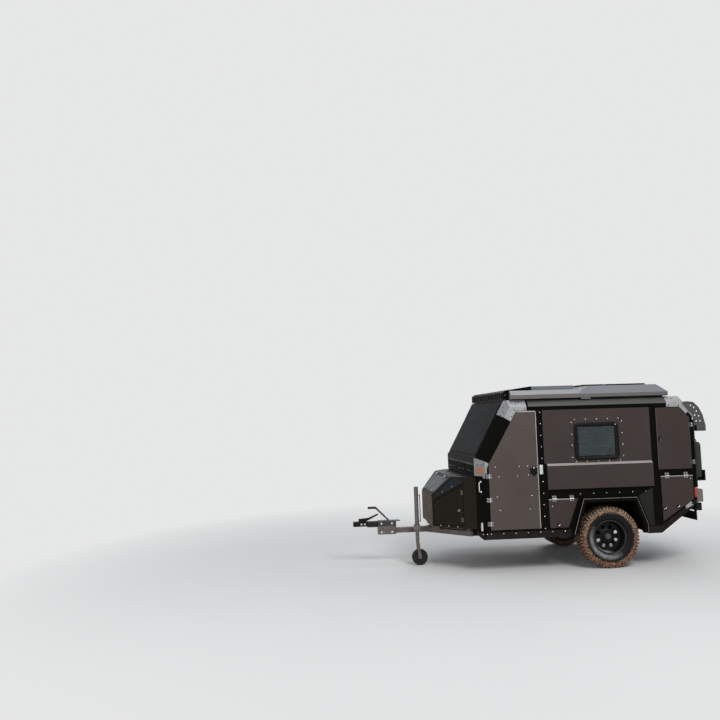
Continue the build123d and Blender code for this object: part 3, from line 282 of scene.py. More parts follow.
def rim_paint(name):
    """Black lacquer; the rolled lip is grey, partly dust and partly a painted highlight, and a painted sunlit
    crescent lies in the lower front of the barrel.
    """
    g = Graph(name)
    reach = g.reach((AXLE_X, 0.0, TYRE_R), (1.0, 0.0, 1.0))
    # Rolled lip: grey, partly dust and partly a painted highlight.
    lip = g.times(g.ramp(reach, 0.2135, 0.2165), g.ramp(g.noise(14.0, 5.0), 0.3, 0.6, 0.35, 1.0))
    base = g.mix(lip, (0.0045, 0.0045, 0.0045), (0.085, 0.085, 0.09))
    # Painted sunlight: a pale crescent inside the barrel, kept to the lower front of the wheel.
    barrel = g.times(g.ramp(reach, 0.186, 0.192), g.ramp(reach, 0.2035, 0.2045, 1.0, 0.0))
    splash_and_painted_light = g.times(barrel, g.slant(0.17, 0.27), g.ramp(g.noise(18.0, 7.0, 0.7), 0.36, 0.6, 0.5, 1.0))
    base = g.mix(splash_and_painted_light, base, (0.36, 0.35, 0.34))
    base = g.mix(g.ramp(reach, 0.040, 0.046, 1.0, 0.0), base, (0.075, 0.075, 0.075))
    g.set(Base_Color=base, Roughness=g.ramp(g.noise(9.0), 0.3, 0.7, 0.35, 0.5), Specular_IOR_Level=0.16)
    g.bump(g.noise(300.0, 3.0), 0.0001)
    return g.material


def glass(name):
    """Tinted acrylic of the side windows."""
    g = Graph(name)
    g.set(Base_Color=g.mix(g.noise(2.2, 3.0), (0.17, 0.225, 0.232), (0.21, 0.265, 0.270)))
    g.set(Transmission_Weight=0.93, Roughness=0.06, IOR=1.45, Specular_IOR_Level=0.3)
    g.bump(g.noise(5.0, 2.0), 0.0006, 0.3)
    return g.material


def blind(name):
    """Pleated cloth, a little paler towards its top."""
    g = Graph(name)
    weave = g.noise(900.0, 2.0)
    tone = g.mix(g.ramp(g.height(), 1.45, 1.95), (0.16, 0.22, 0.225), (0.24, 0.32, 0.32))
    streak = g.ramp(g.noise(1.0, 5.0, 0.6, g.stretch((2.5, 2.5, 70.0))), 0.48, 0.62)
    patch = g.ramp(g.noise(4.0, 3.0), 0.42, 0.60)
    tone = g.mix(g.times(streak, patch), tone, (0.80, 0.95, 0.90))
    g.set(Base_Color=g.mix(g.ramp(weave, 0.0, 1.0, 0.0, 0.3), tone, (0.20, 0.26, 0.265)))
    g.set(Roughness=0.8, Specular_IOR_Level=0.1)
    g.bump(weave, 0.0003)
    return g.material


def cells(name):
    """Solar cells: dark squares with thin pale lines between them."""
    g = Graph(name)
    grid = g.node("ShaderNodeTexBrick", {"offset": 0.0}, Vector=g.place, Scale=1.0, Mortar_Size=0.0022,
                  Brick_Width=0.156, Row_Height=0.156, Mortar_Smooth=0.1)
    fine = g.node("ShaderNodeTexWave", {"bands_direction": "X"}, Vector=g.place, Scale=60.0)
    cell = g.mix(g.ramp(fine.outputs["Fac"], 0.9, 1.0, 0.0, 0.35), (0.008, 0.010, 0.022), (0.07, 0.075, 0.09))
    g.set(Base_Color=g.mix(grid.outputs["Fac"], cell, (0.17, 0.18, 0.20)))
    g.set(Roughness=0.34, Specular_IOR_Level=0.25)
    return g.material


def lens(name, colour):
    """Moulded lens with fine ribs."""
    g = Graph(name)
    ribs = g.node("ShaderNodeTexWave", {"bands_direction": "Z"}, Vector=g.place, Scale=40.0).outputs["Fac"]
    g.set(Base_Color=g.mix(ribs, shade(colour, 0.75), shade(colour, 1.15)), Roughness=0.14, Coat_Weight=0.6)
    g.bump(ribs, 0.001, 0.5)
    return g.material


FINE = (60.0, 60.0, 60.0)

LOOKS = {
    "panel": paint("panel_grey", (0.0440, 0.0325, 0.0290), 0.48, dust=0.12, spec=0.2),
    "side_panel": side_paint("panel_grey_side"),
    "door": paint("door_grey", (0.0830, 0.0665, 0.0585), 0.46, spec=0.2),
    # Strips painted as highlights along folded edges and the waist
    "edge": paint("edge_painted_highlight", (0.46, 0.42, 0.40), 0.34, dust=0.05, metallic=0.2),
    "waist_painted_highlight": paint("waist_painted_highlight", (0.37, 0.335, 0.320), 0.36, dust=0.05, metallic=0.2),
    "edge_dark": paint("edge_painted_dim_highlight", (0.13, 0.12, 0.115), 0.36, dust=0.05),
    "bead": paint("bead_grey", (0.27, 0.26, 0.25), 0.4, dust=0.2, metallic=0.3),
    "frame": paint("frame_black", (0.0030, 0.0030, 0.0023), 0.50, dust=0.04, ior=1.14),
    "floor": paint("floor_board", (0.10, 0.098, 0.095), 0.6),
    "lining": paint("lining_board", (0.36, 0.34, 0.31), 0.55, dust=0.05),
    "steel": paint("chassis_black", (0.0060, 0.0057, 0.0052), 0.50, dust=0.14, spec=0.15),
    "rail": metal("rail_satin", (0.088, 0.088, 0.080), 0.42, (160.0, 5.0, 5.0), 0.10, 0.05, 0.5),
    "casting": casting("casting_bright"),
    "bracket": metal("bracket_grey", (0.075, 0.075, 0.073), 0.5, (30.0, 30.0, 30.0), 0.3, 0.05, 0.4),
    "hinge": metal("hinge_grey", (0.135, 0.13, 0.125), 0.36, FINE, 0.12, 0.05, 0.6),
    "case": metal("case_satin", (0.25, 0.255, 0.265), 0.42, (3.0, 160.0, 160.0), 0.08, 0.03, 0.35),
    "case_band": metal("case_band", (0.135, 0.123, 0.115), 0.42, (3.0, 160.0, 160.0), 0.08, 0.03, 0.4),
    "lid": metal("lid_satin", (0.165, 0.177, 0.189), 0.62, (3.0, 120.0, 120.0), 0.07, 0.03, 0.1),
    "bright": metal("stainless", (0.72, 0.71, 0.69), 0.26, FINE, 0.08, 0.03, 0.8),
    "zinc": galvanised("galvanised_steel"),
    "overrun": galvanised("overrun_steel", OVERRUN_CAP_Z),
    "pane": paint("front_gloss", (0.0085, 0.0105, 0.0125), 0.30, 0.12, 0.00002, 0.015, ior=1.05),
    "sill": paint("pane_foot", (0.026, 0.019, 0.016), 0.4, dust=0.04, ior=1.06),
    "plastic": paint("black_plastic", (0.0038, 0.0038, 0.0036), 0.42, dust=0.03, spec=0.16),
    "nose_hinge": metal("nose_hinge", (0.075, 0.070, 0.062), 0.4, FINE, 0.1, 0.05, 0.5),
    "nose": paint("nose_dark", (0.0135, 0.0103, 0.0062), 0.48, dust=0.05, spec=0.10,
                  top=(0.0065, 0.0080, 0.0095)),
    "nose_front": paint("nose_front_dusty", (0.060, 0.033, 0.018), 0.52, 0.18, dust=0.14, spec=0.12),
    "facet": paint("nose_facet", (0.0130, 0.0170, 0.0205), 0.38, dust=0.02, spec=0.14),
    "nose_lid": paint("nose_slate", (0.034, 0.045, 0.053), 0.36, dust=0.03, spec=0.2),
    "rubber": rubber("bellows_rubber"),
    "tyre": tyre_rubber("tyre_muddy"),
    "lug": tyre_rubber("tyre_lug_muddy", True),
    "rim": rim_paint("rim_black"),
    "glass": glass("window_acrylic"),
    "blind": blind("blind_fabric"),
    "cells": cells("solar_cells"),
    "amber": lens("lens_amber", (0.42, 0.135, 0.045)),
    "red": lens("lens_red", (0.40, 0.012, 0.016)),
    "white": lens("lens_white", (0.72, 0.72, 0.70)),
    "lamp_box": paint("lamp_box_grey", (0.17, 0.16, 0.15), 0.45),
    "housing": paint("marker_housing", (0.29, 0.215, 0.175), 0.4, dust=0.15),
    "can": paint("can_olive", (0.028, 0.032, 0.022), 0.5, dust=0.15),
}


# Mesh building. Shapes are built in metres from the axle, and moved once they are whole.

def skin(bm, rings, caps=True, closed=False):
    """Faces from each ring of places to the next; a ring of one place is a tip."""
    rings = [[bm.verts.new(place) for place in ring] for ring in rings]
    for a, b in zip(rings, rings[1:] + rings[:1] if closed else rings[1:]):
        for i in range(max(len(a), len(b))):
            corners = (a[i % len(a)], a[(i + 1) % len(a)], b[(i + 1) % len(b)], b[i % len(b)])
            corners = list(dict.fromkeys(corners))
            if len(corners) > 2:
                bm.faces.new(corners)
    if caps:
        bm.faces.new(rings[0])
        bm.faces.new(rings[-1])


def rectangle(x0, x1, z0, z1):
    return [(x0, z0), (x1, z0), (x1, z1), (x0, z1)]


def round_rect(x0, x1, z0, z1, radius, steps=6):
    """Closed outline with round corners."""
    points = []
    for x, z, start in ((x1 - radius, z1 - radius, 0), (x0 + radius, z1 - radius, 90),
                        (x0 + radius, z0 + radius, 180), (x1 - radius, z0 + radius, 270)):
        turns = [radians(start + 90 * i / steps) for i in range(steps + 1)]
        points += [(x + radius * cos(t), z + radius * sin(t)) for t in turns]
    return points


def moved_in(points, amount):
    """Outline with each edge moved in, for an outline that turns one way only."""
    following = [*points[1:], points[0]]
    sign = 1 if sum(a[0] * b[1] - b[0] * a[1] for a, b in zip(points, following)) > 0 else -1
    lines = []
    for (ax, ay), (bx, by) in zip(points, following):
        length = hypot(bx - ax, by - ay)
        dx, dy = (bx - ax) / length, (by - ay) / length
        lines.append((ax - dy * sign * amount, ay + dx * sign * amount, dx, dy))
    made = []
    for (ax, ay, adx, ady), (bx, by, bdx, bdy) in zip(lines[-1:] + lines[:-1], lines):
        t = ((bx - ax) * bdy - (by - ay) * bdx) / (adx * bdy - ady * bdx)
        made.append((ax + adx * t, ay + ady * t))
    return made


def add_slab(bm, points, y0, y1):
    """Prism with an outline in X and Z, between two values of Y."""
    skin(bm, [[(x, y, z) for x, z in points] for y in (y0, y1)])


def placed(origin, axes, points):
    """Places given along three axes from an origin."""
    return [Vector(origin) + axes[0] * a + axes[1] * b + axes[2] * c for a, b, c in points]


def add_outline(bm, origin, axes, points, lo, hi):
    """Prism with an outline in the first two axes, between two distances along the third."""
    skin(bm, [placed(origin, axes, [(a, b, c) for a, b in points]) for c in (lo, hi)])


def add_placed(bm, origin, axes, lo, hi, taper=0.0):
    """Box between two corners in the directions of axes; taper narrows its outer face."""
    rings = []
    for c, t in ((lo[2], 0.0), (hi[2], taper)):
        corners = rectangle(lo[0] + t, hi[0] - t, lo[1] + t, hi[1] - t)
        rings.append(placed(origin, axes, [(a, b, c) for a, b in corners]))
    skin(bm, rings)


def add_ring(bm, origin, axes, outline, grow, shrink, lo, hi):
    """Flat frame around an outline, reaching outwards by grow and inwards by shrink."""
    outer, inner = moved_in(outline, -grow), moved_in(outline, shrink)
    for i in range(len(outline)):
        j = (i + 1) % len(outline)
        add_outline(bm, origin, axes, [outer[i], outer[j], inner[j], inner[i]], lo, hi)


def axes_on(normal, along):
    """Axes of a surface: the first runs near along, the third is its normal."""
    n = Vector(normal).normalized()
    u = (Vector(along) - n * n.dot(Vector(along))).normalized()
    return u, n.cross(u), n


def add_lathe(bm, centre, axis, profile, steps, closed=False):
    """Body of revolution; the profile is a list of radius and distance along the axis."""
    axis = Vector(axis).normalized()
    u = axis.orthogonal().normalized()
    v = axis.cross(u)
    rings = []
    for r, h in profile:
        turns = [2 * pi * i / steps for i in range(steps if r else 1)]
        rings.append([Vector(centre) + axis * h + (u * cos(t) + v * sin(t)) * r for t in turns])
    skin(bm, rings, False, closed)


def add_dome(bm, place, normal, radius=0.0065, height=0.0035):
    """Button head of a rivet."""
    add_lathe(bm, place, normal, [(radius, -0.0015), (radius, height * 0.3), (radius * 0.8, height * 0.75),
                                  (radius * 0.4, height * 0.97), (0, height)], 12)


def add_pipe(bm, points, radius, steps=12):
    """Tube through points, with closed ends."""
    points = [Vector(p) for p in points]
    rings = []
    side = None
    for i, point in enumerate(points):
        run = (points[min(i + 1, len(points) - 1)] - points[max(i - 1, 0)]).normalized()
        side = run.orthogonal().normalized() if side is None else (side - run * side.dot(run)).normalized()
        up = run.cross(side)
        turns = [2 * pi * k / steps for k in range(steps)]
        rings.append([point + (side * cos(t) + up * sin(t)) * radius for t in turns])
    skin(bm, rings)


def touches(node, rays):
    """Where rays from outside meet a CAD node, each with the face's normal; both are from the axle."""
    form = bmesh.new()
    form.from_mesh(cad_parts[node].data)
    tree = BVHTree.FromBMesh(form)
    form.free()
    hits = [tree.ray_cast(Vector(origin) + SHIFT, Vector(way).normalized()) for origin, way in rays]
    return [(hit[0] - SHIFT, hit[1]) for hit in hits if hit[0] is not None]


def add_domes(bm, node, rays, radius, height):
    """Rivets where rays meet a CAD node."""
    for place, normal in touches(node, rays):
        add_dome(bm, place, normal, radius, height)


def linked(name, data):
    thing = bpy.data.objects.new(name, data)
    bpy.context.scene.collection.objects.link(thing)
    return thing


def mesh_object(name, bm, material):
    mesh = bpy.data.meshes.new(name)
    bm.to_mesh(mesh)
    bm.free()
    mesh.materials.append(material)
    return linked(name, mesh)


def soften(thing, width):
    """Rounded edges."""
    edge = thing.modifiers.new("edges", "BEVEL")
    edge.width = width
    edge.segments = 2
    edge.limit_method = "ANGLE"
    edge.angle_limit = radians(38)
    edge.miter_outer = "MITER_ARC"
    normals = thing.modifiers.new("normals", "WEIGHTED_NORMAL")
    normals.keep_sharp = True


def piece(name, bm, finish, body="trailer", bevel=0.0, angle=35, replaces=()):
    """Object made of the mesh, moved to the part's frame and riding on its body."""
    bmesh.ops.recalc_face_normals(bm, faces=bm.faces)
    bmesh.ops.translate(bm, verts=bm.verts, vec=SHIFT)
    made = mesh_object(name, bm, LOOKS[finish])
    made.data.polygons.foreach_set("use_smooth", [True] * len(made.data.polygons))
    made.data.set_sharp_from_angle(angle=radians(angle))
    if bevel:
        soften(made, bevel)
    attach(made, body)
    if replaces:
        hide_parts(*replaces)
    return made


# CAD nodes: material and edge rounding of each
KEPT = {
    "chassis": ("steel", 0.003), "drawbar": ("zinc", 0.004), "overrun_housing": ("overrun", 0.004),
    "coupling": ("steel", 0.0), "handbrake_lever": ("bracket", 0.002), "jockey_tube": ("zinc", 0.0),
    "jockey_leg": ("zinc", 0.0), "jockey_fork": ("zinc", 0.0), "side_wall_left": ("frame", 0.002),
    "side_wall_right": ("frame", 0.002), "roof": ("frame", 0.002), "rear_wall": ("panel", 0.002),
    "front_wall": ("frame", 0.003), "floor": ("floor", 0.0), "wheel_arches": ("frame", 0.002),
    "partition": ("lining", 0.0), "side_panels": ("side_panel", 0.002), "fittings": ("bright", 0.0),
    "marker_lamps": ("amber", 0.0), "lamp_boxes": ("lamp_box", 0.006), "rear_brackets": ("bracket", 0.0015),
    "roof_lid": ("lid", 0.003), "castings": ("casting", 0.002), "roof_rails": ("rail", 0.002),
    "front_pane": ("pane", 0.002), "front_band": ("frame", 0.002), "swing_arms": ("steel", 0.0),
    "nose_box": ("nose", 0.003), "nose_lid": ("frame", 0.002), "nose_door_left": ("nose", 0.002),
    "nose_door_right": ("nose", 0.002), "roof_cowl": ("frame", 0.003), "awning_case": ("case", 0.006),
    "tail_lamps": ("red", 0.0), "rear_carrier": ("steel", 0.003), "bellows": ("rubber", 0.0),
    "entry_door_left": ("door", 0.0025), "entry_door_right": ("door", 0.0025),
    "rear_door_left": ("panel", 0.0025), "rear_door_right": ("panel", 0.0025),
    "front_hatch_left": ("panel", 0.0025), "front_hatch_right": ("panel", 0.0025),
    "rear_hatch_left": ("panel", 0.0025), "rear_hatch_right": ("panel", 0.0025),
    "window_frames": ("plastic", 0.0), "window_panes": ("glass", 0.0), "jockey_wheel": ("rubber", 0.0),
    "tyre_left": ("tyre", 0.0), "tyre_right": ("tyre", 0.0), "rim_left": ("rim", 0.0),
    "rim_right": ("rim", 0.0), "solar_panels": ("cells", 0.001), "fuel_can": ("can", 0.0),
}


def dress_cad():
    for name, (finish, width) in KEPT.items():
        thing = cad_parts[name]
        thing.data.materials.clear()
        thing.data.materials.append(LOOKS[finish])
        if width:
            thing.modifiers.new("weld", "WELD").merge_threshold = 0.00002
            soften(thing, width)


# Rivets of the sides, as places in X and Z
COLUMN = [(-0.878, z) for z in (2.083, 1.931, 1.776, 1.626, 1.473, 1.167, 1.012, 0.864, 0.711, 0.556)]
SILL = [(x, 0.511) for x in (-1.711, -1.658, -1.604, -1.438, -1.276, -1.109, -0.943, -0.780, -0.613)]
BAND = [(x, 0.99) for x in (-0.381, -0.199, -0.02, 0.156, 0.336, 0.52)]
WINDOW_RIVETS = (
    *((x, 1.974) for x in (-0.41, -0.261, -0.109, 0.042)), (0.189, 1.976),
    *((0.237, z) for z in (1.932, 1.781, 1.626, 1.474)),
    (-0.462, 1.473), (-0.46, 1.63), (-0.459, 1.778), (-0.457, 1.935),
    *((x, 1.4155) for x in (0.19, 0.04, -0.111, -0.263, -0.412)))
DOOR_RIVETS = ((-1.514, 1.377), (-1.195, 1.376), (-1.081, 1.380), (-1.075, 1.257), (-1.472, 1.250),
               (-1.223, 1.251), (-1.507, 0.988), (-1.042, 0.991), (-1.474, 0.813), (-1.072, 0.818))


def riveted(name, rows, body="trailer", sides=BOTH):
    """Domes on the sides; each row has its places and the distance of their face."""
    bm = bmesh.new()
    for side in sides:
        for places, out in rows:
            for x, z in places:
                add_dome(bm, (x, side * out, z), (0, side, 0), 0.0068, 0.0036)
    piece(name, bm, "bright", body=body)


def rivets():
    riveted("rivets_body", ((COLUMN, SKIN), (SILL, SKIN), (BAND, SKIN), (WINDOW_RIVETS, FACE)))
    for name, side in SIDES:
        riveted(f"rivets_entry_{name}", ((DOOR_RIVETS, FACE),), f"entry_door_{name}", (side,))
        for kind, place in (("front_hatch", (-0.768, 0.843)), ("rear_hatch", (1.150, 1.140))):
            riveted(f"rivets_{kind}_{name}", (((place,), FACE),), f"{kind}_{name}", (side,))


# Hinges: pins in X and Z, the direction of the pin, and the direction from it into the leaf
HINGES = {
    "entry_door": ([(-1.605, z) for z in (0.641, 0.950, 1.260)], UP, ALONG),
    "rear_door": ([(1.182, z) for z in (1.360, 1.860)], UP, -ALONG),
    "front_hatch": ([(x, 0.935) for x in (-0.7418, -0.5051)], ALONG, -UP),
    "rear_hatch": ([(x, 1.185) for x in (0.8176, 1.0801)], ALONG, -UP),
}
HINGE_HALF = 0.0306
BARREL_R = 0.0088
MOVING_LEAF = ((-HINGE_HALF, 0.001, -0.009), (HINGE_HALF, 0.0367, -0.0022), 0.0008, (0.023, -0.0022))
FIXED_LEAF = ((-0.030, -0.045, -0.017), (0.030, -0.011, -0.003), 0.0012, (-0.028, -0.003))


def add_leaf(bm, screws, origin, axes, lo, hi, taper, at):
    """Plate of a hinge with two screws; at gives their distance from the pin and their depth."""
    add_placed(bm, origin, axes, lo, hi, taper)
    for place in placed(origin, axes, [(sign * 0.017, *at) for sign in BOTH]):
        add_dome(screws, place, axes[2], 0.0052, 0.0022)


def add_hinge(bm, screws, origin, axes):
    """Moving leaf, and a barrel of three knuckles about the pin."""
    add_leaf(bm, screws, origin, axes, *MOVING_LEAF)
    half = [(0, HINGE_HALF), (0.0074, HINGE_HALF), (BARREL_R, 0.0292), (BARREL_R, 0.01095), (0.0079, 0.01015),
            (BARREL_R, 0.00935)]
    add_lathe(screws, origin, axes[0], [(r, -h) for r, h in half] + half[::-1], 14)


def hinges():
    """Leaves and barrels over those of the doors and hatches."""
    fixed, fixed_screws = bmesh.new(), bmesh.new()
    for name, side in SIDES:
        for kind, (pins, run, into) in HINGES.items():
            leaves, screws = bmesh.new(), bmesh.new()
            axes = (run, into, ACROSS * side)
            for x, z in pins:
                pin = (x, side * PIN_Y, z)
                add_hinge(leaves, screws, pin, axes)
                add_leaf(fixed, fixed_screws, pin, axes, *FIXED_LEAF)
            dull = kind == "rear_door"
            body = f"{kind}_{name}"
            piece(f"hinges_{body}", leaves, "nose_hinge" if dull else "hinge", body=body)
            piece(f"hinge_pins_{body}", screws, "nose_hinge" if dull else "bright", body=body)
    piece("hinge_screws", fixed_screws, "bright")
    piece("hinge_plates", fixed, "hinge", replaces=("fittings",))


# Latches: how far their plates stand from the middle plane
ENTRY_LATCH_Y = 1.0172
REAR_LATCH_Y = 1.0114
STRIKE_Y = 1.0056


def add_turn_latch(plate, knob, place, out):
    """Round plate in one mesh and a T handle in the other."""
    add_lathe(plate, place, out, [(0, 0), (0.0236, 0), (0.0236, 0.006), (0.0196, 0.0112), (0.013, 0.0125),
                                  (0, 0.0125)], 24)
    tilt = (UP.cross(out).normalized() * 0.94 + UP * 0.34).normalized()
    add_placed(knob, place, (tilt, out.cross(tilt), out), (-0.018, -0.0040, 0.0124), (0.018, 0.0040, 0.0195),
               0.0015)


def entry_latch(name, side):
    bm, studs = bmesh.new(), bmesh.new()
    out, y = ACROSS * side, side * ENTRY_LATCH_Y
    add_slab(bm, round_rect(-1.046, -0.957, 1.256, 1.372, 0.014), side * FACE, y)
    add_placed(bm, (-1.0015, y, 1.314), (ALONG, UP, out), (-0.030, -0.043, 0.0), (0.020, 0.030, 0.006), 0.003)
    for x in (-1.038, -0.965):
        for z in (1.264, 1.364):
            add_dome(studs, (x, y, z), out, 0.005, 0.003)
    button = ((0.0105, 0), (0.0105, 0.004), (0.009, 0.0052), (0, 0.0052))
    add_lathe(studs, (-1.0015, y, 1.356), out, button, 20)
    piece(f"latch_entry_{name}", bm, "plastic", f"entry_door_{name}", 0.0015)
    piece(f"latch_studs_{name}", studs, "bright", body=f"entry_door_{name}")


def hatch_latches(body, side, places):
    plate, knob = bmesh.new(), bmesh.new()
    for x, z in places:
        add_turn_latch(plate, knob, (x, side * FACE, z), ACROSS * side)
        add_dome(knob, (x + 0.013, side * 1.0125, z + 0.013), (0, side, 0), 0.0058, 0.003)
    piece(f"latch_plate_{body}", plate, "plastic", body)
    piece(f"latch_knob_{body}", knob, "bright", body, 0.0012)


def rear_latch(body, side):
    plate, knob = bmesh.new(), bmesh.new()
    out, y = ACROSS * side, side * REAR_LATCH_Y
    add_slab(plate, round_rect(0.7385, 0.7775, 1.654, 1.712, 0.01), side * FACE, y)
    add_placed(knob, (0.758, y, 1.676), (UP, ALONG, out), (-0.034, -0.008, 0.0), (0.02, 0.008, 0.009), 0.002)
    add_dome(knob, (0.758, y, 1.702), out, 0.0058, 0.003)
    piece(f"latch_plate_{body}", plate, "plastic", body, 0.0015)
    piece(f"latch_knob_{body}", knob, "hinge", body, 0.0015)


def latches():
    strikes = bmesh.new()
    for name, side in SIDES:
        entry_latch(name, side)
        hatch_latches(f"front_hatch_{name}", side, ((-0.698, 0.590),))
        hatch_latches(f"rear_hatch_{name}", side, ((0.765, 0.755), (0.952, 0.775)))
        rear_latch(f"rear_door_{name}", side)
        y = side * STRIKE_Y
        add_slab(strikes, round_rect(-0.9212, -0.8768, 1.2652, 1.3868, 0.006), side * (SKIN + 0.002), y)
        add_slab(strikes, round_rect(-0.912, -0.886, 1.306, 1.346, 0.005), y, side * (STRIKE_Y + 0.0019))
        for z in (1.281, 1.371):
            add_dome(strikes, (-0.899, y, z), (0, side, 0), 0.006, 0.003)
    piece("strike_plates", strikes, "bright", bevel=0.001)


# Pale strips painted as highlights along folded edges: their material, slot, and strips in X and Z
EDGES = {
    "entry_door": ("edge", "door_panel", (rectangle(-0.947, -0.938, 0.562, 2.1035),
                                          rectangle(-1.199, -0.9385, 2.0915, 2.1045))),
    "front_hatch": ("edge", "panel", (rectangle(-0.817, -0.474, 0.924, 0.934),)),
    "rear_hatch": ("edge", "panel", (rectangle(0.734, 1.177, 1.174, 1.184),)),
    "rear_door": ("edge_dark", "panel", (rectangle(0.7165, 0.7205, 1.275, 2.098),)),
}
ARCH_BEAD = ((-0.5055, 0.479), (-0.3625, 0.9245), (0.3625, 0.9245), (0.4965, 0.561), (0.4895, 0.457))


def edges():
    for name, side in SIDES:
        for kind, (finish, slot, strips) in EDGES.items():
            bm = bmesh.new()
            for strip in strips:
                # Pale strip painted as a highlight along the edge
                add_slab(bm, strip, side * FACE, side * (FACE + 0.0012))
            piece(f"edge_{kind.replace('entry_door', 'entry')}_{name}", bm, finish, f"{kind}_{name}")
    waist, beads = bmesh.new(), bmesh.new()
    for side in BOTH:
        # Pale strip painted as a highlight on the sloping top of the waist panel.
        (y0, z0), (y1, z1) = (side * 1.0298, 1.3695), (side * 0.9985, 1.3975)
        thick = 0.0012
        ring = ((y0, z0), (y0 + side * thick, z0 + thick), (y1 + side * thick, z1 + thick), (y1, z1))
        skin(waist, [[(x, y, z) for y, z in ring] for x in (-0.818, 0.621)])
        add_pipe(beads, [(x, side * 1.0562, z) for x, z in ARCH_BEAD], 0.0042, 8)
    piece("waist_painted_highlight", waist, "waist_painted_highlight")
    piece("arch_beading", beads, "bead")


# Side windows. Sections give how far an outline is moved in, and its distance from the middle plane.
WINDOW = (-0.431, 0.186, 1.429, 1.929)
WINDOW_R = 0.07
SURROUND = ((0.0, 0.9995), (0.0005, 1.007), (0.004, 1.0135), (0.011, 1.0172), (0.022, 1.018),
            (0.034, 1.0168), (0.041, 1.0135), (0.050, 1.008), (0.0555, 1.002), (0.056, 0.986),
            (0.0305, 0.986), (0.0302, 0.9995))
ACRYLIC = ((0.0562, 0.988), (0.0562, 0.9985), (0.058, 0.9996), (0.080, 1.0002), (0.12, 1.0006),
           (0.17, 1.0007))
STAY = ((0.0085, 0), (0.0085, 0.0008), (0.007, 0.0014), (0, 0.0014))
PLEATS = 26


def window_rings(side, section):
    x0, x1, z0, z1 = WINDOW
    rings = []
    for inset, out in section:
        outline = round_rect(x0 + inset, x1 - inset, z0 + inset, z1 - inset, max(WINDOW_R - inset, 0.012), 8)
        rings.append([(x, side * out, z) for x, z in outline])
    return rings


def add_blind(bm, side):
    """Cloth in pleats, 8 mm deep, a little smaller than the window."""
    x0, x1, z0, z1 = WINDOW
    rows = []
    for i in range(2 * PLEATS + 1):
        y = side * (0.974 if i % 2 else 0.966)
        z = z0 + 0.045 + (z1 - z0 - 0.09) * i / (2 * PLEATS)
        rows.append([bm.verts.new((x, y, z)) for x in (x0 + 0.04, x1 - 0.04)])
    for a, b in zip(rows, rows[1:]):
        bm.faces.new((a[0], a[1], b[1], b[0]))


def windows():
    surrounds, panes, blinds, stays = (bmesh.new() for _ in range(4))
    for side in BOTH:
        skin(surrounds, window_rings(side, SURROUND), caps=False, closed=True)
        skin(panes, window_rings(side, ACRYLIC))
        add_blind(blinds, side)
        add_lathe(stays, (0.140, side * 1.0165, 1.896), (0, side, 0), STAY, 14)
    piece("window_surrounds", surrounds, "plastic", angle=50, replaces=("window_frames",))
    piece("window_acrylic", panes, "glass", angle=60, replaces=("window_panes",))
    piece("window_blinds", blinds, "blind", angle=20)
    piece("window_stays", stays, "bright")


# Tyres. Lug sections are distance outwards and radius; the carcass is radius and distance outwards.
LUGS = 54
LUG_HALF = 0.27          # half a lug's width, in pitches
LUG_TOP_R = 0.403        # radius at which a lug has its own width
LUG_SPREAD = 0.40        # turn by which a lug widens for each metre below that
SHOULDER = ((0.064, 0.377), (0.064, 0.4028), (0.108, 0.4020), (0.120, 0.396), (0.1300, 0.368),
            (0.1308, 0.346), (0.122, 0.343), (0.110, 0.364))
SHORT_SHOULDER = ((0.070, 0.377), (0.070, 0.4028), (0.108, 0.4020), (0.119, 0.396), (0.1290, 0.374),
                  (0.1270, 0.362), (0.110, 0.364))
CARCASS = ((0.2085, 0.094), (0.2085, 0.0995), (0.213, 0.1005), (0.226, 0.1005), (0.232, 0.106),
           (0.240, 0.1165), (0.252, 0.1245), (0.262, 0.1278), (0.266, 0.1268), (0.270, 0.1285),
           (0.290, 0.1302), (0.312, 0.1308), (0.330, 0.1300), (0.346, 0.1265), (0.362, 0.1175),
           (0.372, 0.109), (0.379, 0.099), (0.3815, 0.089), (0.3825, 0.040))
RIB_MARK = ((0.1300, 0.300), (0.1309, 0.300), (0.1309, 0.318), (0.1300, 0.318))


def mirrored(profile):
    """Closed profile of radius and distance, from its outer half."""
    return [*profile, *((r, -h) for r, h in reversed(profile))]


def on_wheel(side, r, h, turn):
    """Place at a radius and turn about the axle, h outwards from the wheel's middle."""
    return Vector((r * cos(turn), side * (WHEEL_Y + h), TYRE_R + r * sin(turn)))


def add_turned_prism(bm, side, section, turn, half, spread=0.0):
    """Solid whose section is turned by half to each side; spread widens its foot."""
    skin(bm, [[on_wheel(side, r, h, turn + sign * (half + spread * (LUG_TOP_R - r))) for h, r in section]
              for sign in BOTH])


def add_tread_block(bm, side, middle, turn, half, skew):
    """Block of the middle rows, 40 mm wide, narrower at one end and turned there by skew."""
    rings = []
    for r, grow in ((0.377, 0.0035), (0.4026, 0.0)):
        h0, h1 = middle - 0.020 - grow, middle + 0.020 + grow
        wide, narrow = half + grow * 2, half * 0.8 + grow * 2
        ring = ((h0, -wide), (h1, skew - narrow), (h1, skew + narrow), (h0, wide))
        rings.append([on_wheel(side, r, h, turn + t) for h, t in ring])
    skin(bm, rings)


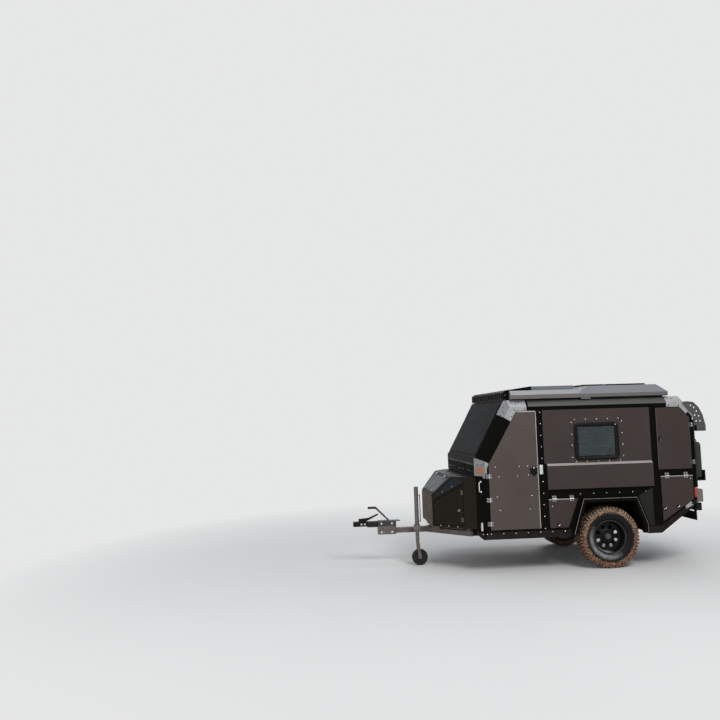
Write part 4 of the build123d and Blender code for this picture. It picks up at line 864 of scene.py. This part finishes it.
def tyres():
    pitch = 2 * pi / LUGS
    half = LUG_HALF * pitch
    for name, side in SIDES:
        bm, lugs = bmesh.new(), bmesh.new()
        add_lathe(bm, (0, side * WHEEL_Y, TYRE_R), (0, side, 0), mirrored(CARCASS), 96, closed=True)
        for i in range(LUGS):
            section = SHOULDER if i % 2 else SHORT_SHOULDER
            for sign, phase in ((1, 0.0), (-1, 0.5)):
                turn = (i + phase) * pitch
                add_turned_prism(lugs, side, [(sign * h, r) for h, r in section], turn, half, LUG_SPREAD)
                add_tread_block(lugs, side, sign * 0.034, turn + 0.5 * pitch, half, 0.12 * pitch * sign)
        for i in range(72):
            if i % 3:
                add_turned_prism(bm, side, RIB_MARK, 2 * pi * i / 72, 0.012)
        piece(f"tyre_tread_{name}", bm, "tyre", f"wheel_{name}", angle=40, replaces=(f"tyre_{name}",))
        piece(f"tyre_lugs_{name}", lugs, "lug", f"wheel_{name}", 0.0016, 40)


# Rims, as radius and distance outwards
BARREL = ((0.2222, 0.1068), (0.2226, 0.1040), (0.2205, 0.1008), (0.2125, 0.0998), (0.2082, 0.0982),
          (0.2080, 0.0650), (0.1950, 0.0480))
BARREL_INNER = ((0.2190, 0.1078), (0.2130, 0.1052), (0.2035, 0.0955), (0.2025, 0.0640), (0.1895, 0.0450))
HUB = ((0.0312, -0.0295), (0.0615, -0.0295), (0.0620, 0.0250), (0.0600, 0.0310), (0.0540, 0.0338),
       (0.0400, 0.0345), (0.0385, 0.0370), (0.0382, 0.0480), (0.0360, 0.0530), (0.0300, 0.0553),
       (0.0200, 0.0560), (0.0001, 0.0560), (0.0001, 0.0300), (0.0312, 0.0300))
NUT = ((0.0001, 0), (0.0105, 0), (0.0105, 0.013), (0.0085, 0.0165), (0.0001, 0.0165))
DISC = ((0.056, 0.0235), (0.084, 0.0225), (0.098, 0.0150), (0.108, 0.0085), (0.130, 0.0045), (0.151, 0.0020),
        (0.168, 0.0015), (0.1895, 0.0100))
DISC_THICK = 0.009
VENTS = 8
CELLS = 8                # cells of the disc in each eighth
VENT_RINGS, VENT_CELLS = (3, 4), (3, 4, 5)
VALVE_TURN = radians(200)


def add_disc(bm, side):
    """Pressed disc with vents: two layers of cells, and walls where a cell has no neighbour."""
    count = VENTS * CELLS
    layers = [[[bm.verts.new(on_wheel(side, r, h - depth, 2 * pi * (k - 0.5) / count)) for k in range(count)]
               for r, h in DISC] for depth in (0.0, DISC_THICK)]
    walls = {}
    for m in range(len(DISC) - 1):
        for k in range(count):
            if m in VENT_RINGS and k % CELLS in VENT_CELLS:
                continue
            cell = [(m, k), (m, (k + 1) % count), (m + 1, (k + 1) % count), (m + 1, k)]
            for layer in layers:
                bm.faces.new([layer[i][j] for i, j in cell])
            for a, b in zip(cell, cell[1:] + cell[:1]):
                key = tuple(sorted((a, b)))
                walls[key] = walls.get(key, 0) + 1
    for (a, b), uses in walls.items():
        if uses == 1:
            bm.faces.new([layers[n][i][j] for n, (i, j) in ((0, a), (0, b), (1, b), (1, a))])


def rims():
    barrel = BARREL + tuple((r, -h) for r, h in reversed(BARREL))
    barrel += tuple((r, -h) for r, h in BARREL_INNER) + BARREL_INNER[::-1]
    for name, side in SIDES:
        centre, axis = Vector((0, side * WHEEL_Y, TYRE_R)), (0, side, 0)
        bm, disc = bmesh.new(), bmesh.new()
        add_lathe(bm, centre, axis, barrel, 96, closed=True)
        add_lathe(bm, centre, axis, HUB, 48, closed=True)
        for i in range(6):
            add_lathe(bm, on_wheel(side, 0.0695, 0.022, 2 * pi * (i + 0.5) / 6), axis, NUT, 6)
        foot, tip = (on_wheel(side, r, h, VALVE_TURN) for r, h in ((0.197, 0.075), (0.185, 0.097)))
        length = (tip - foot).length
        add_lathe(bm, foot, tip - foot, [(0, 0), (0.003, 0), (0.004, 0.001), (0.004, length - 0.001),
                                         (0.003, length), (0, length)], 10)
        piece(f"rim_barrel_{name}", bm, "rim", f"wheel_{name}", angle=40, replaces=(f"rim_{name}",))
        add_disc(disc, side)
        smooth = piece(f"rim_disc_{name}", disc, "rim", f"wheel_{name}", angle=180)
        smooth = smooth.modifiers.new("smooth", "SUBSURF")
        smooth.levels = 2
        smooth.render_levels = 2


# Jockey wheel and bellows on the drawbar
JOCKEY = Vector((-2.436, -0.2, 0.112))
JOCKEY_HALF = ((0.0082, -0.028), (0.022, -0.028), (0.024, -0.020), (0.060, -0.012), (0.080, -0.014),
               (0.084, -0.024), (0.092, -0.0275), (0.104, -0.026), (0.1105, -0.018))
JOCKEY_R = 0.1118
BELLOWS_X0, BELLOWS_X1, BELLOWS_Z = -3.149, -2.999, 0.560
BELLOWS_FOLDS = 6


def jockey_tyre():
    """Small tyre with five ribs on each face of its wheel."""
    bm = bmesh.new()
    other_half = [(r, -h) for r, h in reversed(JOCKEY_HALF)]
    add_lathe(bm, JOCKEY, ACROSS, [*JOCKEY_HALF, (JOCKEY_R, 0.0), *other_half], 48, closed=True)
    for i in range(5):
        turn = 2 * pi * i / 5
        for side in BOTH:
            axes = (Vector((cos(turn), 0, sin(turn))), Vector((-sin(turn), 0, cos(turn))), ACROSS * side)
            add_placed(bm, JOCKEY, axes, (0.022, -0.004, 0.010), (0.082, 0.004, 0.021), 0.001)
    piece("jockey_tyre", bm, "rubber", "jockey_wheel", 0.0008, 40, ("jockey_wheel",))


def bellows():
    bm = bmesh.new()
    length = BELLOWS_X1 - BELLOWS_X0
    step = length / BELLOWS_FOLDS
    profile = [(0.028, 0.0)]
    for i in range(BELLOWS_FOLDS):
        fold = ((0.040, 0.001), (0.0452, step * 0.3), (0.0458, step * 0.5), (0.0452, step * 0.7),
                (0.040, step - 0.001), (0.0375, step))
        profile += [(r, i * step + h) for r, h in fold]
    add_lathe(bm, (BELLOWS_X0, 0, BELLOWS_Z), ALONG, [*profile, (0.028, length)], 40)
    piece("bellows_folds", bm, "rubber", angle=60, replaces=("bellows",))


# Nose box: its front, the corner where its side wall ends, and the lid's top corner
NOSE_X, NOSE_HALF, NOSE_FOOT, NOSE_EDGE_Z = -2.275, 0.440, 0.565, 0.985
NOSE_FRONT_Z = 0.930     # top of the front at its corners
LID_FOOT_HALF = 0.4066
NOSE_TURN = (-1.900, 0.810)
LID_TOP = (-2.000, 0.610, 1.280)
LID = ((-0.400, 0.030), (0.400, 0.030), (0.520, 0.318), (-0.520, 0.318))
LID_FIELD = ((-0.374, 0.037), (0.374, 0.037), (0.488, 0.311), (-0.488, 0.311))
LID_STRIP = ((0.409, 0.010), (0.4135, 0.010), (0.577, 0.340), (0.530, 0.340))
SIDE_LEN = hypot(NOSE_TURN[0] - NOSE_X, NOSE_TURN[1] - NOSE_HALF)


def nose_side(side):
    """Origin and axes of a side wall of the nose box: along it, up, and outwards."""
    along, across = NOSE_TURN[0] - NOSE_X, NOSE_TURN[1] - NOSE_HALF
    run, out = Vector((along, side * across, 0)).normalized(), Vector((-across, side * along, 0)).normalized()
    return Vector((NOSE_X, side * NOSE_HALF, 0)), (run, UP, out)


def nose_slope():
    """Origin and axes of the nose lid: across to the left, up the slope, and outwards."""
    out = Vector((NOSE_EDGE_Z - LID_TOP[2], 0, LID_TOP[0] - NOSE_X)).normalized()
    return Vector((NOSE_X, 0, NOSE_EDGE_Z)), (-ACROSS, out.cross(-ACROSS), out)


def nose_lid():
    """Seal around the lid, strips beside it, and its raised field."""
    origin, axes = nose_slope()
    seal, field = bmesh.new(), bmesh.new()
    add_ring(seal, origin, axes, LID, 0.0165, -0.0055, 0.0, 0.0022)
    for side in BOTH:
        add_outline(seal, origin, axes, [(side * u, v) for u, v in LID_STRIP], 0.0, 0.0026)
    add_outline(field, origin, axes, LID_FIELD, 0.0, 0.0016)
    piece("nose_lid_seal", seal, "plastic", bevel=0.0008)
    piece("nose_lid_field", field, "nose_lid", "nose_lid", 0.0012)


def nose_lid_fittings():
    """Two latches and two hinges of the lid."""
    origin, axes = nose_slope()
    plate, knob = bmesh.new(), bmesh.new()
    for place in placed(origin, axes, [(0.26, 0.056, 0), (-0.26, 0.056, 0)]):
        add_lathe(plate, place, axes[2], [(0, 0), (0.026, 0), (0.026, 0.006), (0.021, 0.012), (0, 0.012)], 24)
        add_placed(knob, place, axes, (-0.016, -0.004, 0.0118), (0.016, 0.004, 0.019), 0.001)
    for pin in placed(origin, axes, [(0.300, 0.326, 0.010), (-0.300, 0.326, 0.010)]):
        add_hinge(plate, knob, pin, (ACROSS, -axes[1], axes[2]))
    piece("nose_lid_latches", plate, "hinge", body="nose_lid")
    piece("nose_lid_knobs", knob, "bright", body="nose_lid")


def add_nose_facet(facet, seam, marks, side):
    """Sloping side of the nose: a dark sheet, the fold along the lid, and two rivets."""
    low = Vector((NOSE_X, side * NOSE_HALF, NOSE_FRONT_Z))
    high = Vector((NOSE_TURN[0], side * NOSE_TURN[1], 1.180))
    ridge = Vector((LID_TOP[0], side * LID_TOP[1], LID_TOP[2]))
    corner = Vector((NOSE_X, side * LID_FOOT_HALF, NOSE_EDGE_Z))
    normal = (high - low).cross(ridge - low)
    axes = axes_on(normal if normal.z > 0 else -normal, high - low)
    corners = (low, high, high + (ridge - high) * 0.62, corner + (ridge - corner) * 0.868, corner)
    flat = [Vector(((place - low).dot(axes[0]), (place - low).dot(axes[1]))) for place in corners]
    shift = (flat[0] - flat[4]).normalized() * 0.040
    fold = [flat[3], flat[4], flat[4] + shift, flat[3] + shift]
    add_outline(seam, low, axes, moved_in(fold, 0.0005), 0.0, 0.0010)
    add_outline(facet, low, axes, moved_in([*flat[:3], fold[3], fold[2]], 0.007), 0.0, 0.0014)
    up = 0.026 if axes[1].z > 0 else -0.026
    for place in placed(low, axes, [(0.20, up, 0), (0.37, up, 0)]):
        add_dome(marks, place, axes[2], 0.0062, 0.0034)


def nose_walls():
    """Sheets of the facets and the front, seams and rivets."""
    facet, front, marks, seam = (bmesh.new() for _ in range(4))
    for side in BOTH:
        add_nose_facet(facet, seam, marks, side)
        origin, axes = nose_side(side)
        add_outline(seam, origin, axes, [(0.004, 0.926), (SIDE_LEN - 0.004, 1.174), (SIDE_LEN - 0.004, 1.156),
                                         (0.004, 0.908)], 0.0, 0.0012)
        for place in placed(origin, axes, [(along, 0.583, 0) for along in (0.13, 0.26, 0.40)]):
            add_dome(marks, place, axes[2], 0.0068, 0.0036)
    face = [(-NOSE_HALF, NOSE_FOOT), (NOSE_HALF, NOSE_FOOT), (NOSE_HALF, NOSE_FRONT_Z),
            (LID_FOOT_HALF, NOSE_EDGE_Z), (-LID_FOOT_HALF, NOSE_EDGE_Z), (-NOSE_HALF, NOSE_FRONT_Z)]
    add_outline(front, (NOSE_X, 0, 0), (ACROSS, UP, -ALONG), moved_in(face, 0.016), 0.0, 0.0016)
    for y in (-0.33, -0.11, 0.11, 0.33):
        add_dome(marks, (NOSE_X - 0.0016, y, 0.60), -ALONG, 0.0062, 0.0034)
    piece("nose_seams", seam, "plastic")
    piece("nose_facets", facet, "facet", bevel=0.001)
    piece("nose_front_sheet", front, "nose_front", bevel=0.001)
    piece("nose_rivets", marks, "bright")


def nose_door_fittings():
    """A latch, two hinges and two rivets on each nose door."""
    for name, side in SIDES:
        origin, axes = nose_side(side)
        plate, knob = bmesh.new(), bmesh.new()
        latch = placed(origin, axes, [(SIDE_LEN - 0.090, 0.800, 0)])[0]
        add_turn_latch(plate, knob, latch, axes[2])
        for pin in placed(origin, axes, [(SIDE_LEN - 0.024, z, 0.010) for z in (0.680, 1.040)]):
            add_hinge(plate, plate, pin, (UP, -axes[0], axes[2]))
        for place in placed(origin, axes, [(0.050, z, 0) for z in (0.655, 0.860)]):
            add_dome(plate, place, axes[2], 0.0055, 0.003)
        piece(f"nose_door_latch_{name}", plate, "nose_hinge", body=f"nose_door_{name}")
        piece(f"nose_door_knob_{name}", knob, "bright", body=f"nose_door_{name}")


# Front wall: bevelled corners with lamps and handles, and half a handle's path along and off the wall
CORNER_X, CORNER_Y = -1.705, 0.937
HANDLE = ((-0.0655, -0.001), (-0.0655, 0.018), (-0.0640, 0.027), (-0.0590, 0.0340), (-0.0520, 0.0380),
          (-0.0430, 0.0389))
HANDLE_FOOT = ((0, 0), (0.0145, 0), (0.0145, 0.0025), (0.0115, 0.005), (0, 0.005))


def front_corners():
    housing, amber, oval, base, grip = (bmesh.new() for _ in range(5))
    for side in BOTH:
        out = Vector((-1, side, 0)).normalized()
        axes = (UP, Vector((side, 1, 0)).normalized(), out)
        origin = Vector((CORNER_X, side * CORNER_Y, 0))
        marker, lamp, handle = (origin + UP * z for z in (1.335, 0.600, 1.121))
        add_outline(housing, marker, axes, round_rect(-0.048, 0.048, -0.058, 0.058, 0.012), 0.0119, 0.0165)
        add_outline(amber, marker, axes, round_rect(-0.033, 0.033, -0.050, 0.050, 0.018, 8), 0.0164, 0.0218)
        add_outline(base, lamp, axes, round_rect(-0.063, 0.063, -0.020, 0.020, 0.0199, 8), 0.0, 0.006)
        add_outline(oval, lamp, axes, round_rect(-0.057, 0.057, -0.0145, 0.0145, 0.0144, 8), 0.0059, 0.0098)
        path = [*HANDLE, *((-u, w) for u, w in reversed(HANDLE))]
        add_pipe(grip, placed(handle, axes, [(u, 0, w) for u, w in path]), 0.0074, 14)
        for foot in placed(handle, axes, [(HANDLE[0][0], 0, 0), (-HANDLE[0][0], 0, 0)]):
            add_lathe(grip, foot, out, HANDLE_FOOT, 20)
    piece("marker_housings", housing, "housing", bevel=0.002)
    piece("marker_lenses", amber, "amber", bevel=0.003, replaces=("marker_lamps",))
    piece("oval_lamp_bases", base, "plastic", bevel=0.0015)
    piece("oval_lamp_lenses", oval, "white", bevel=0.0022)
    piece("grab_handles", grip, "bright", angle=60)


def front_wall():
    """Rivets of the ribbed band, and the dull foot of the glossy pane."""
    lo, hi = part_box("front_band")
    marks, foot = bmesh.new(), bmesh.new()
    rows = [lo.z + (hi.z - lo.z) * share for share in (0.28, 0.70)]
    rays = [((-2.4, -0.8 + 0.1 * i, z), ALONG) for z in rows for i in range(17)]
    add_domes(marks, "front_band", rays, 0.0062, 0.0034)
    piece("front_band_rivets", marks, "bright")
    lo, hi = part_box("front_pane")
    half = hi.y - 0.012
    face, normal = touches("front_pane", [((-2.6, 0.0, lo.z + 0.10), ALONG)])[0]
    across, down, out = axes_on(normal, ACROSS)
    if down.z > 0:
        down = -down
    drop = (face.z - lo.z - 0.012) / -down.z
    add_outline(foot, face, (across, down, out), rectangle(-half, half, drop - 0.030, drop), 0.0, 0.0014)
    piece("pane_foot", foot, "sill", bevel=0.0006)


SCREW_RING = ((0.0105, -0.001), (0.0105, 0.0006), (0.0085, 0.0014), (0.0070, 0.0010), (0.0, 0.0004))
SCREW = ((0.0060, -0.001), (0.0060, 0.0013), (0.0045, 0.0019), (0, 0.0019))


def casting_screws():
    """Recessed screws, placed by rays from the side, from above, at the bevels and from behind."""
    bm, ring = bmesh.new(), bmesh.new()
    flat = ((-1.085, 2.131), (-1.225, 2.122), (-1.266, 2.035), (-1.669, 1.262), (-1.668, 1.425),
            (0.900, 2.122), (1.040, 2.122), (1.190, 1.995), (1.062, 0.752), (1.140, 0.806))
    upper = ((-1.345, 0.935, 2.085), (-1.385, 0.930, 2.045), (-1.345, 0.925, 2.150))
    marker = ((-0.045, 1.262), (0.045, 1.262), (-0.045, 1.408), (0.045, 1.408))
    rays = []
    for side in BOTH:
        rays += [((x, side * 1.5, z), (0, -side, 0)) for x, z in flat]
        rays += [((x, side * 0.962, 2.8), -UP) for x in (-1.115, -1.155, -1.195, 0.915, 0.965)]
        rays += [((x - 0.4, side * (y + 0.4), z + 0.2), (1, -side, -0.5)) for x, y, z in upper]
        rays += [((CORNER_X - 0.4, side * (CORNER_Y + 0.4 + t), z), (1, -side, 0)) for t, z in marker]
        rays += [((1.6, side * 0.976, z), -ALONG) for z in (1.05, 1.27, 1.49, 1.71, 1.90)]
    for place, normal in touches("castings", rays):
        add_lathe(ring, place, normal, SCREW_RING, 18)
        add_lathe(bm, place, normal, SCREW, 6)
    piece("casting_screw_rings", ring, "hinge")
    piece("casting_screws", bm, "plastic")


# Roof: the height of the lid's brackets, and where the solar panels start and end
BRACKET_Z = 2.257
SOLAR_X = ((-0.150, 0.134), (0.176, 0.736))
SOLAR_HALF = 0.700


def roof_bands():
    """Bands and dark lower edges of the awning case and the lid, and the lid's brackets."""
    band, dark, plate = (bmesh.new() for _ in range(3))
    add_slab(band, rectangle(-1.258, -0.350, 2.2665, 2.3205), -0.9932, -0.990)
    add_slab(dark, rectangle(-1.262, -0.347, 2.2615, 2.2665), -0.9938, -0.985)
    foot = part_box("roof_lid")[0].z
    for side in BOTH:
        add_slab(band, rectangle(-0.338, 0.909, foot + 0.008, 2.3155), side * 0.983, side * 0.9862)
        add_slab(dark, rectangle(-0.343, 0.914, foot + 0.001, foot + 0.008), side * 0.983, side * 0.9868)
        add_slab(plate, rectangle(-0.300, -0.165, BRACKET_Z - 0.009, BRACKET_Z + 0.009), side * 0.960,
                 side * 0.984)
    piece("roof_bands", band, "case_band", bevel=0.0006)
    piece("roof_dark_edges", dark, "plastic")
    piece("lid_brackets", plate, "case_band", bevel=0.001)


def roof_rivets():
    """Rivets of the lid's brackets, and of the cowl's top, side and front."""
    marks = bmesh.new()
    for side in BOTH:
        for i in range(5):
            add_dome(marks, (-0.285 + 0.026 * i, side * 0.984, BRACKET_Z), (0, side, 0), 0.0055, 0.003)
    top = [(x, -0.81 + 0.18 * i) for i in range(10) for x in (-0.930, -0.365)]
    top += [(-0.90 + 0.088 * i, y) for i in range(7) for y in (-0.83, 0.83)]
    add_domes(marks, "roof_cowl", [((x, y, 2.8), -UP) for x, y in top], 0.006, 0.0035)
    rays = [((-1.315 + 0.06 * i, -1.5, z), ACROSS) for i in range(6) for z in (2.262, 2.325)]
    rays += [((-1.7, -0.80 + 0.16 * i, 2.262), ALONG) for i in range(11)]
    add_domes(marks, "roof_cowl", rays, 0.0045, 0.0025)
    piece("roof_rivets", marks, "bright")


def solar_frames():
    frames = bmesh.new()
    for x0, x1 in SOLAR_X:
        outline = rectangle(x0, x1, -SOLAR_HALF, SOLAR_HALF)
        add_ring(frames, (0, 0, 0), (ALONG, ACROSS, UP), outline, 0.0006, 0.014, 2.4245, 2.4485)
    piece("solar_frames", frames, "plastic", bevel=0.001)


# Fuel can: its box, and how far its outline is moved in at distances from each face
CAN_X0, CAN_X1, CAN_Y0, CAN_Y1, CAN_Z0, CAN_Z1 = 1.2505, 1.3635, -0.9335, -0.6005, 1.1221, 1.6200
CAN_X = (CAN_X0 + CAN_X1) / 2
CAN_EDGE = ((0.0, 0.024), (0.004, 0.010), (0.014, 0.002), (0.026, 0.0))
CAN_HANDLE = ((-0.872, 1.614), (-0.868, 1.640), (-0.855, 1.652), (-0.735, 1.652), (-0.722, 1.640),
              (-0.718, 1.614))
CAN_CAP = ((0, 0), (0.027, 0), (0.027, 0.022), (0.030, 0.024), (0.030, 0.040), (0.026, 0.044), (0, 0.044))


def can_ring(x, inset):
    outline = round_rect(CAN_Y0 + inset, CAN_Y1 - inset, CAN_Z0 + inset, CAN_Z1 - inset, 0.045 - inset * 0.6)
    return [(x, y, z) for y, z in outline]


def fuel_can():
    """Can with a pressed cross on each face, three handle bars and a cap."""
    bm = bmesh.new()
    rings = [(CAN_X0 + step, inset) for step, inset in CAN_EDGE]
    rings += [(CAN_X1 - step, inset) for step, inset in reversed(CAN_EDGE)]
    skin(bm, [can_ring(x, inset) for x, inset in rings])
    for x, out in ((CAN_X0, -1), (CAN_X1, 1)):
        for a, b in (((-0.87, 1.19), (-0.665, 1.55)), ((-0.665, 1.19), (-0.87, 1.55))):
            run = Vector((0, b[0] - a[0], b[1] - a[1]))
            add_placed(bm, (x - out * 0.002, *a), axes_on((out, 0, 0), run), (0, -0.010, 0),
                       (run.length, 0.010, 0.0055), 0.004)
    for y in (-0.842, -0.767, -0.692):
        add_pipe(bm, [(CAN_X, y, 1.610), (CAN_X, y, 1.640), (CAN_X, y + 0.004, 1.650)], 0.007)
    for x in (CAN_X - 0.022, CAN_X, CAN_X + 0.022):
        add_pipe(bm, [(x, y, z) for y, z in CAN_HANDLE], 0.0068)
    add_lathe(bm, (CAN_X, -0.655, 1.608), (0, 0.25, 1), CAN_CAP, 28)
    piece("fuel_can_pressed", bm, "can", bevel=0.0015, angle=40, replaces=("fuel_can",))


def tail_lamps():
    reds, whites, ambers = (bmesh.new() for _ in range(3))
    for side in BOTH:
        for bm, x1, z0 in ((ambers, 1.3345, 0.9275), (reds, 1.3350, 0.8835), (whites, 1.3345, 0.8400)):
            height = 0.0430 if bm is reds else 0.0425
            add_slab(bm, rectangle(1.3248, x1, z0, z0 + height), side * 0.800, side * 0.950)
        add_slab(reds, round_rect(1.1925, 1.2255, 0.8905, 1.0195, 0.006), side * 0.992, side * 1.0055)
    piece("tail_reds", reds, "red", bevel=0.0025, replaces=("tail_lamps",))
    piece("tail_ambers", ambers, "amber", bevel=0.0025)
    piece("tail_whites", whites, "white", bevel=0.0025)


# Black frame over the rear wall: rectangles in Y and Z
REAR_X = 1.2280
REAR_FRAME = (rectangle(-0.956, -0.892, 0.575, 1.930), rectangle(0.892, 0.956, 0.575, 1.930),
              rectangle(-0.892, 0.892, 0.575, 0.690), rectangle(-0.892, 0.892, 1.870, 1.930))


def rear_frame():
    bars, marks = bmesh.new(), bmesh.new()
    for outline in REAR_FRAME:
        add_outline(bars, (REAR_X, 0, 0), (ACROSS, UP, ALONG), outline, -0.0004, 0.0014)
    places = [(side * 0.925, 0.62 + 0.18 * i) for side in BOTH for i in range(8)]
    places += [(-0.75 + 0.3 * i, z) for i in range(6) for z in (0.630, 1.900)]
    for y, z in places:
        add_dome(marks, (REAR_X + 0.0014, y, z), ALONG)
    piece("rear_frame", bars, "frame", bevel=0.0006)
    piece("rear_rivets", marks, "bright")


# Bolts: the CAD node, places beside it, and the head's radius and height
BOLTS = (
    ("swing_arms", [(-0.392, 1.5, 0.273)], 0.015, 0.011),
    ("overrun_housing", [(x, 0.4, z) for x in (-2.95, -2.80) for z in (0.45, 0.57)], 0.0095, 0.0075),
    ("coupling", [(x, 0.4, 0.568) for x in (-3.185, -3.235)], 0.0085, 0.007),
)


def add_bolt(bm, place, normal, radius, height):
    """Hexagon head on a washer."""
    wide = radius * 1.55
    washer = ((0, -0.001), (wide, -0.001), (wide, 0.0016), (radius * 1.1, 0.002), (0, 0.002))
    head = ((0, 0.001), (radius, 0.001), (radius, height * 0.85), (radius * 0.82, height), (0, height))
    add_lathe(bm, place, normal, washer, 20)
    add_lathe(bm, place, normal, head, 6)


def bolts():
    heads = bmesh.new()
    for node, places, radius, height in BOLTS:
        rays = [((x, side * y, z), (0, -side, 0)) for x, y, z in places for side in BOTH]
        for place, normal in touches(node, rays):
            add_bolt(heads, place, normal, radius, height)
    piece("bolts", heads, "bright")


def handbrake_grip():
    """Rubber grip with six grooves."""
    grip = bmesh.new()
    profile = [(0.0, 0.0), (0.0160, 0.0), (0.0172, 0.004)]
    for i in range(6):
        groove = ((0.0172, 0.010), (0.0160, 0.013), (0.0160, 0.0165), (0.0172, 0.0195))
        profile += [(r, h + i * 0.0155) for r, h in groove]
    profile += [(0.0172, 0.106), (0.0150, 0.1115), (0.0, 0.1120)]
    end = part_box("handbrake_lever")[0].x - AXLE_X
    add_lathe(grip, (end + 0.113, 0.030, 0.787), -ALONG, profile, 24)
    piece("handbrake_grip", grip, "rubber", angle=40)


# Lamps: place, target, size and power
LAMPS = {
    "key": ((1.6, -7.2, 7.6), (-0.4, 0.0, 1.2), 4.0, 430.0),
    "top": ((0.5, 0.5, 8.0), (0.0, 0.0, 1.0), 6.0, 110.0),
    "fill": ((-7.0, -6.0, 3.5), (-0.5, 0.0, 1.2), 5.0, 110.0),
    "back": ((3.0, 8.0, 5.0), (0.0, 0.0, 1.2), 5.0, 230.0),
}


def direct_rays(tree):
    """1 for rays of the camera and those that mirrors and glass send on, 0 for light."""
    path = tree.nodes.new("ShaderNodeLightPath")
    seen = path.outputs["Is Camera Ray"]
    for kind in ("Is Glossy Ray", "Is Transmission Ray"):
        either = tree.nodes.new("ShaderNodeMath")
        either.operation = "MAXIMUM"
        tree.links.new(seen, either.inputs[0])
        tree.links.new(path.outputs[kind], either.inputs[1])
        seen = either.outputs[0]
    return seen


def studio_floor():
    """Pale floor that runs up into the backdrop's colour."""
    g = Graph("studio_pale")
    g.set(Roughness=0.9, Specular_IOR_Level=0.1)
    g.set(Base_Color=g.mix(g.noise(0.6, 3.0), (0.74, 0.735, 0.725), (0.78, 0.775, 0.765)))
    pale = g.node("ShaderNodeEmission", None, Color=BACKDROP, Strength=1.0)
    far = g.ramp(g.reach((0.0, 0.0, 0.0), (1.0, 1.0, 0.0)), 3.0, 7.5)
    blend = g.combine("ShaderNodeMixShader", None, g.times(far, direct_rays(g.tree)), g.shader.outputs[0],
                      pale.outputs[0])
    g.feed(g.tree.nodes["Material Output"].inputs["Surface"], blend[0])
    bm = bmesh.new()
    add_slab(bm, rectangle(-60, 60, -0.02, 0.0), -40, 60)
    mesh_object("studio_floor", bm, g.material)


def studio_light():
    world = bpy.data.worlds.new("studio")
    bpy.context.scene.world = world
    world.use_nodes = True
    tree = world.node_tree
    soft, seen = tree.nodes["Background"], tree.nodes.new("ShaderNodeBackground")
    for back, colour, strength in ((soft, (0.82, 0.86, 0.92, 1.0), 0.42), (seen, BACKDROP, 1.0)):
        back.inputs["Color"].default_value = colour
        back.inputs["Strength"].default_value = strength
    blend = tree.nodes.new("ShaderNodeMixShader")
    for socket, source in zip(blend.inputs, (direct_rays(tree), soft.outputs[0], seen.outputs[0])):
        tree.links.new(source, socket)
    tree.links.new(blend.outputs[0], tree.nodes["World Output"].inputs[0])
    for name, (place, target, size, power) in LAMPS.items():
        lamp = bpy.data.lights.new(name, "AREA")
        lamp.shape = "DISK"
        lamp.size = size
        lamp.energy = power
        thing = linked(name, lamp)
        thing.location = place
        thing.rotation_euler = (Vector(target) - Vector(place)).to_track_quat("-Z", "Y").to_euler()


def camera():
    """The photograph's view: place from the axle, and pitch, yaw and roll."""
    place = Vector((-4.0075, -10.4129, 2.0526)) + SHIFT
    pitch, yaw, roll = radians(4.74), radians(4.52), radians(-1.65)
    ahead = Vector((sin(yaw) * cos(pitch), cos(yaw) * cos(pitch), sin(pitch)))
    level = Vector((cos(yaw), -sin(yaw), 0))
    above = level.cross(ahead)
    right = level * cos(roll) + above * sin(roll)
    up = above * cos(roll) - level * sin(roll)
    data = bpy.data.cameras.new("camera")
    data.sensor_width = 36.0
    data.lens = 36.0
    thing = linked("camera", data)
    thing.matrix_world = Matrix([(right[i], up[i], -ahead[i], place[i]) for i in range(3)] + [(0, 0, 0, 1)])
    bpy.context.scene.camera = thing


dress_cad()
rivets()
hinges()
latches()
edges()
windows()
tyres()
rims()
jockey_tyre()
bellows()
nose_lid()
nose_walls()
nose_lid_fittings()
nose_door_fittings()
front_corners()
front_wall()
casting_screws()
roof_bands()
roof_rivets()
solar_frames()
fuel_can()
tail_lamps()
rear_frame()
bolts()
handbrake_grip()
studio_floor()
studio_light()
camera()
bpy.context.scene.view_settings.view_transform = "Standard"
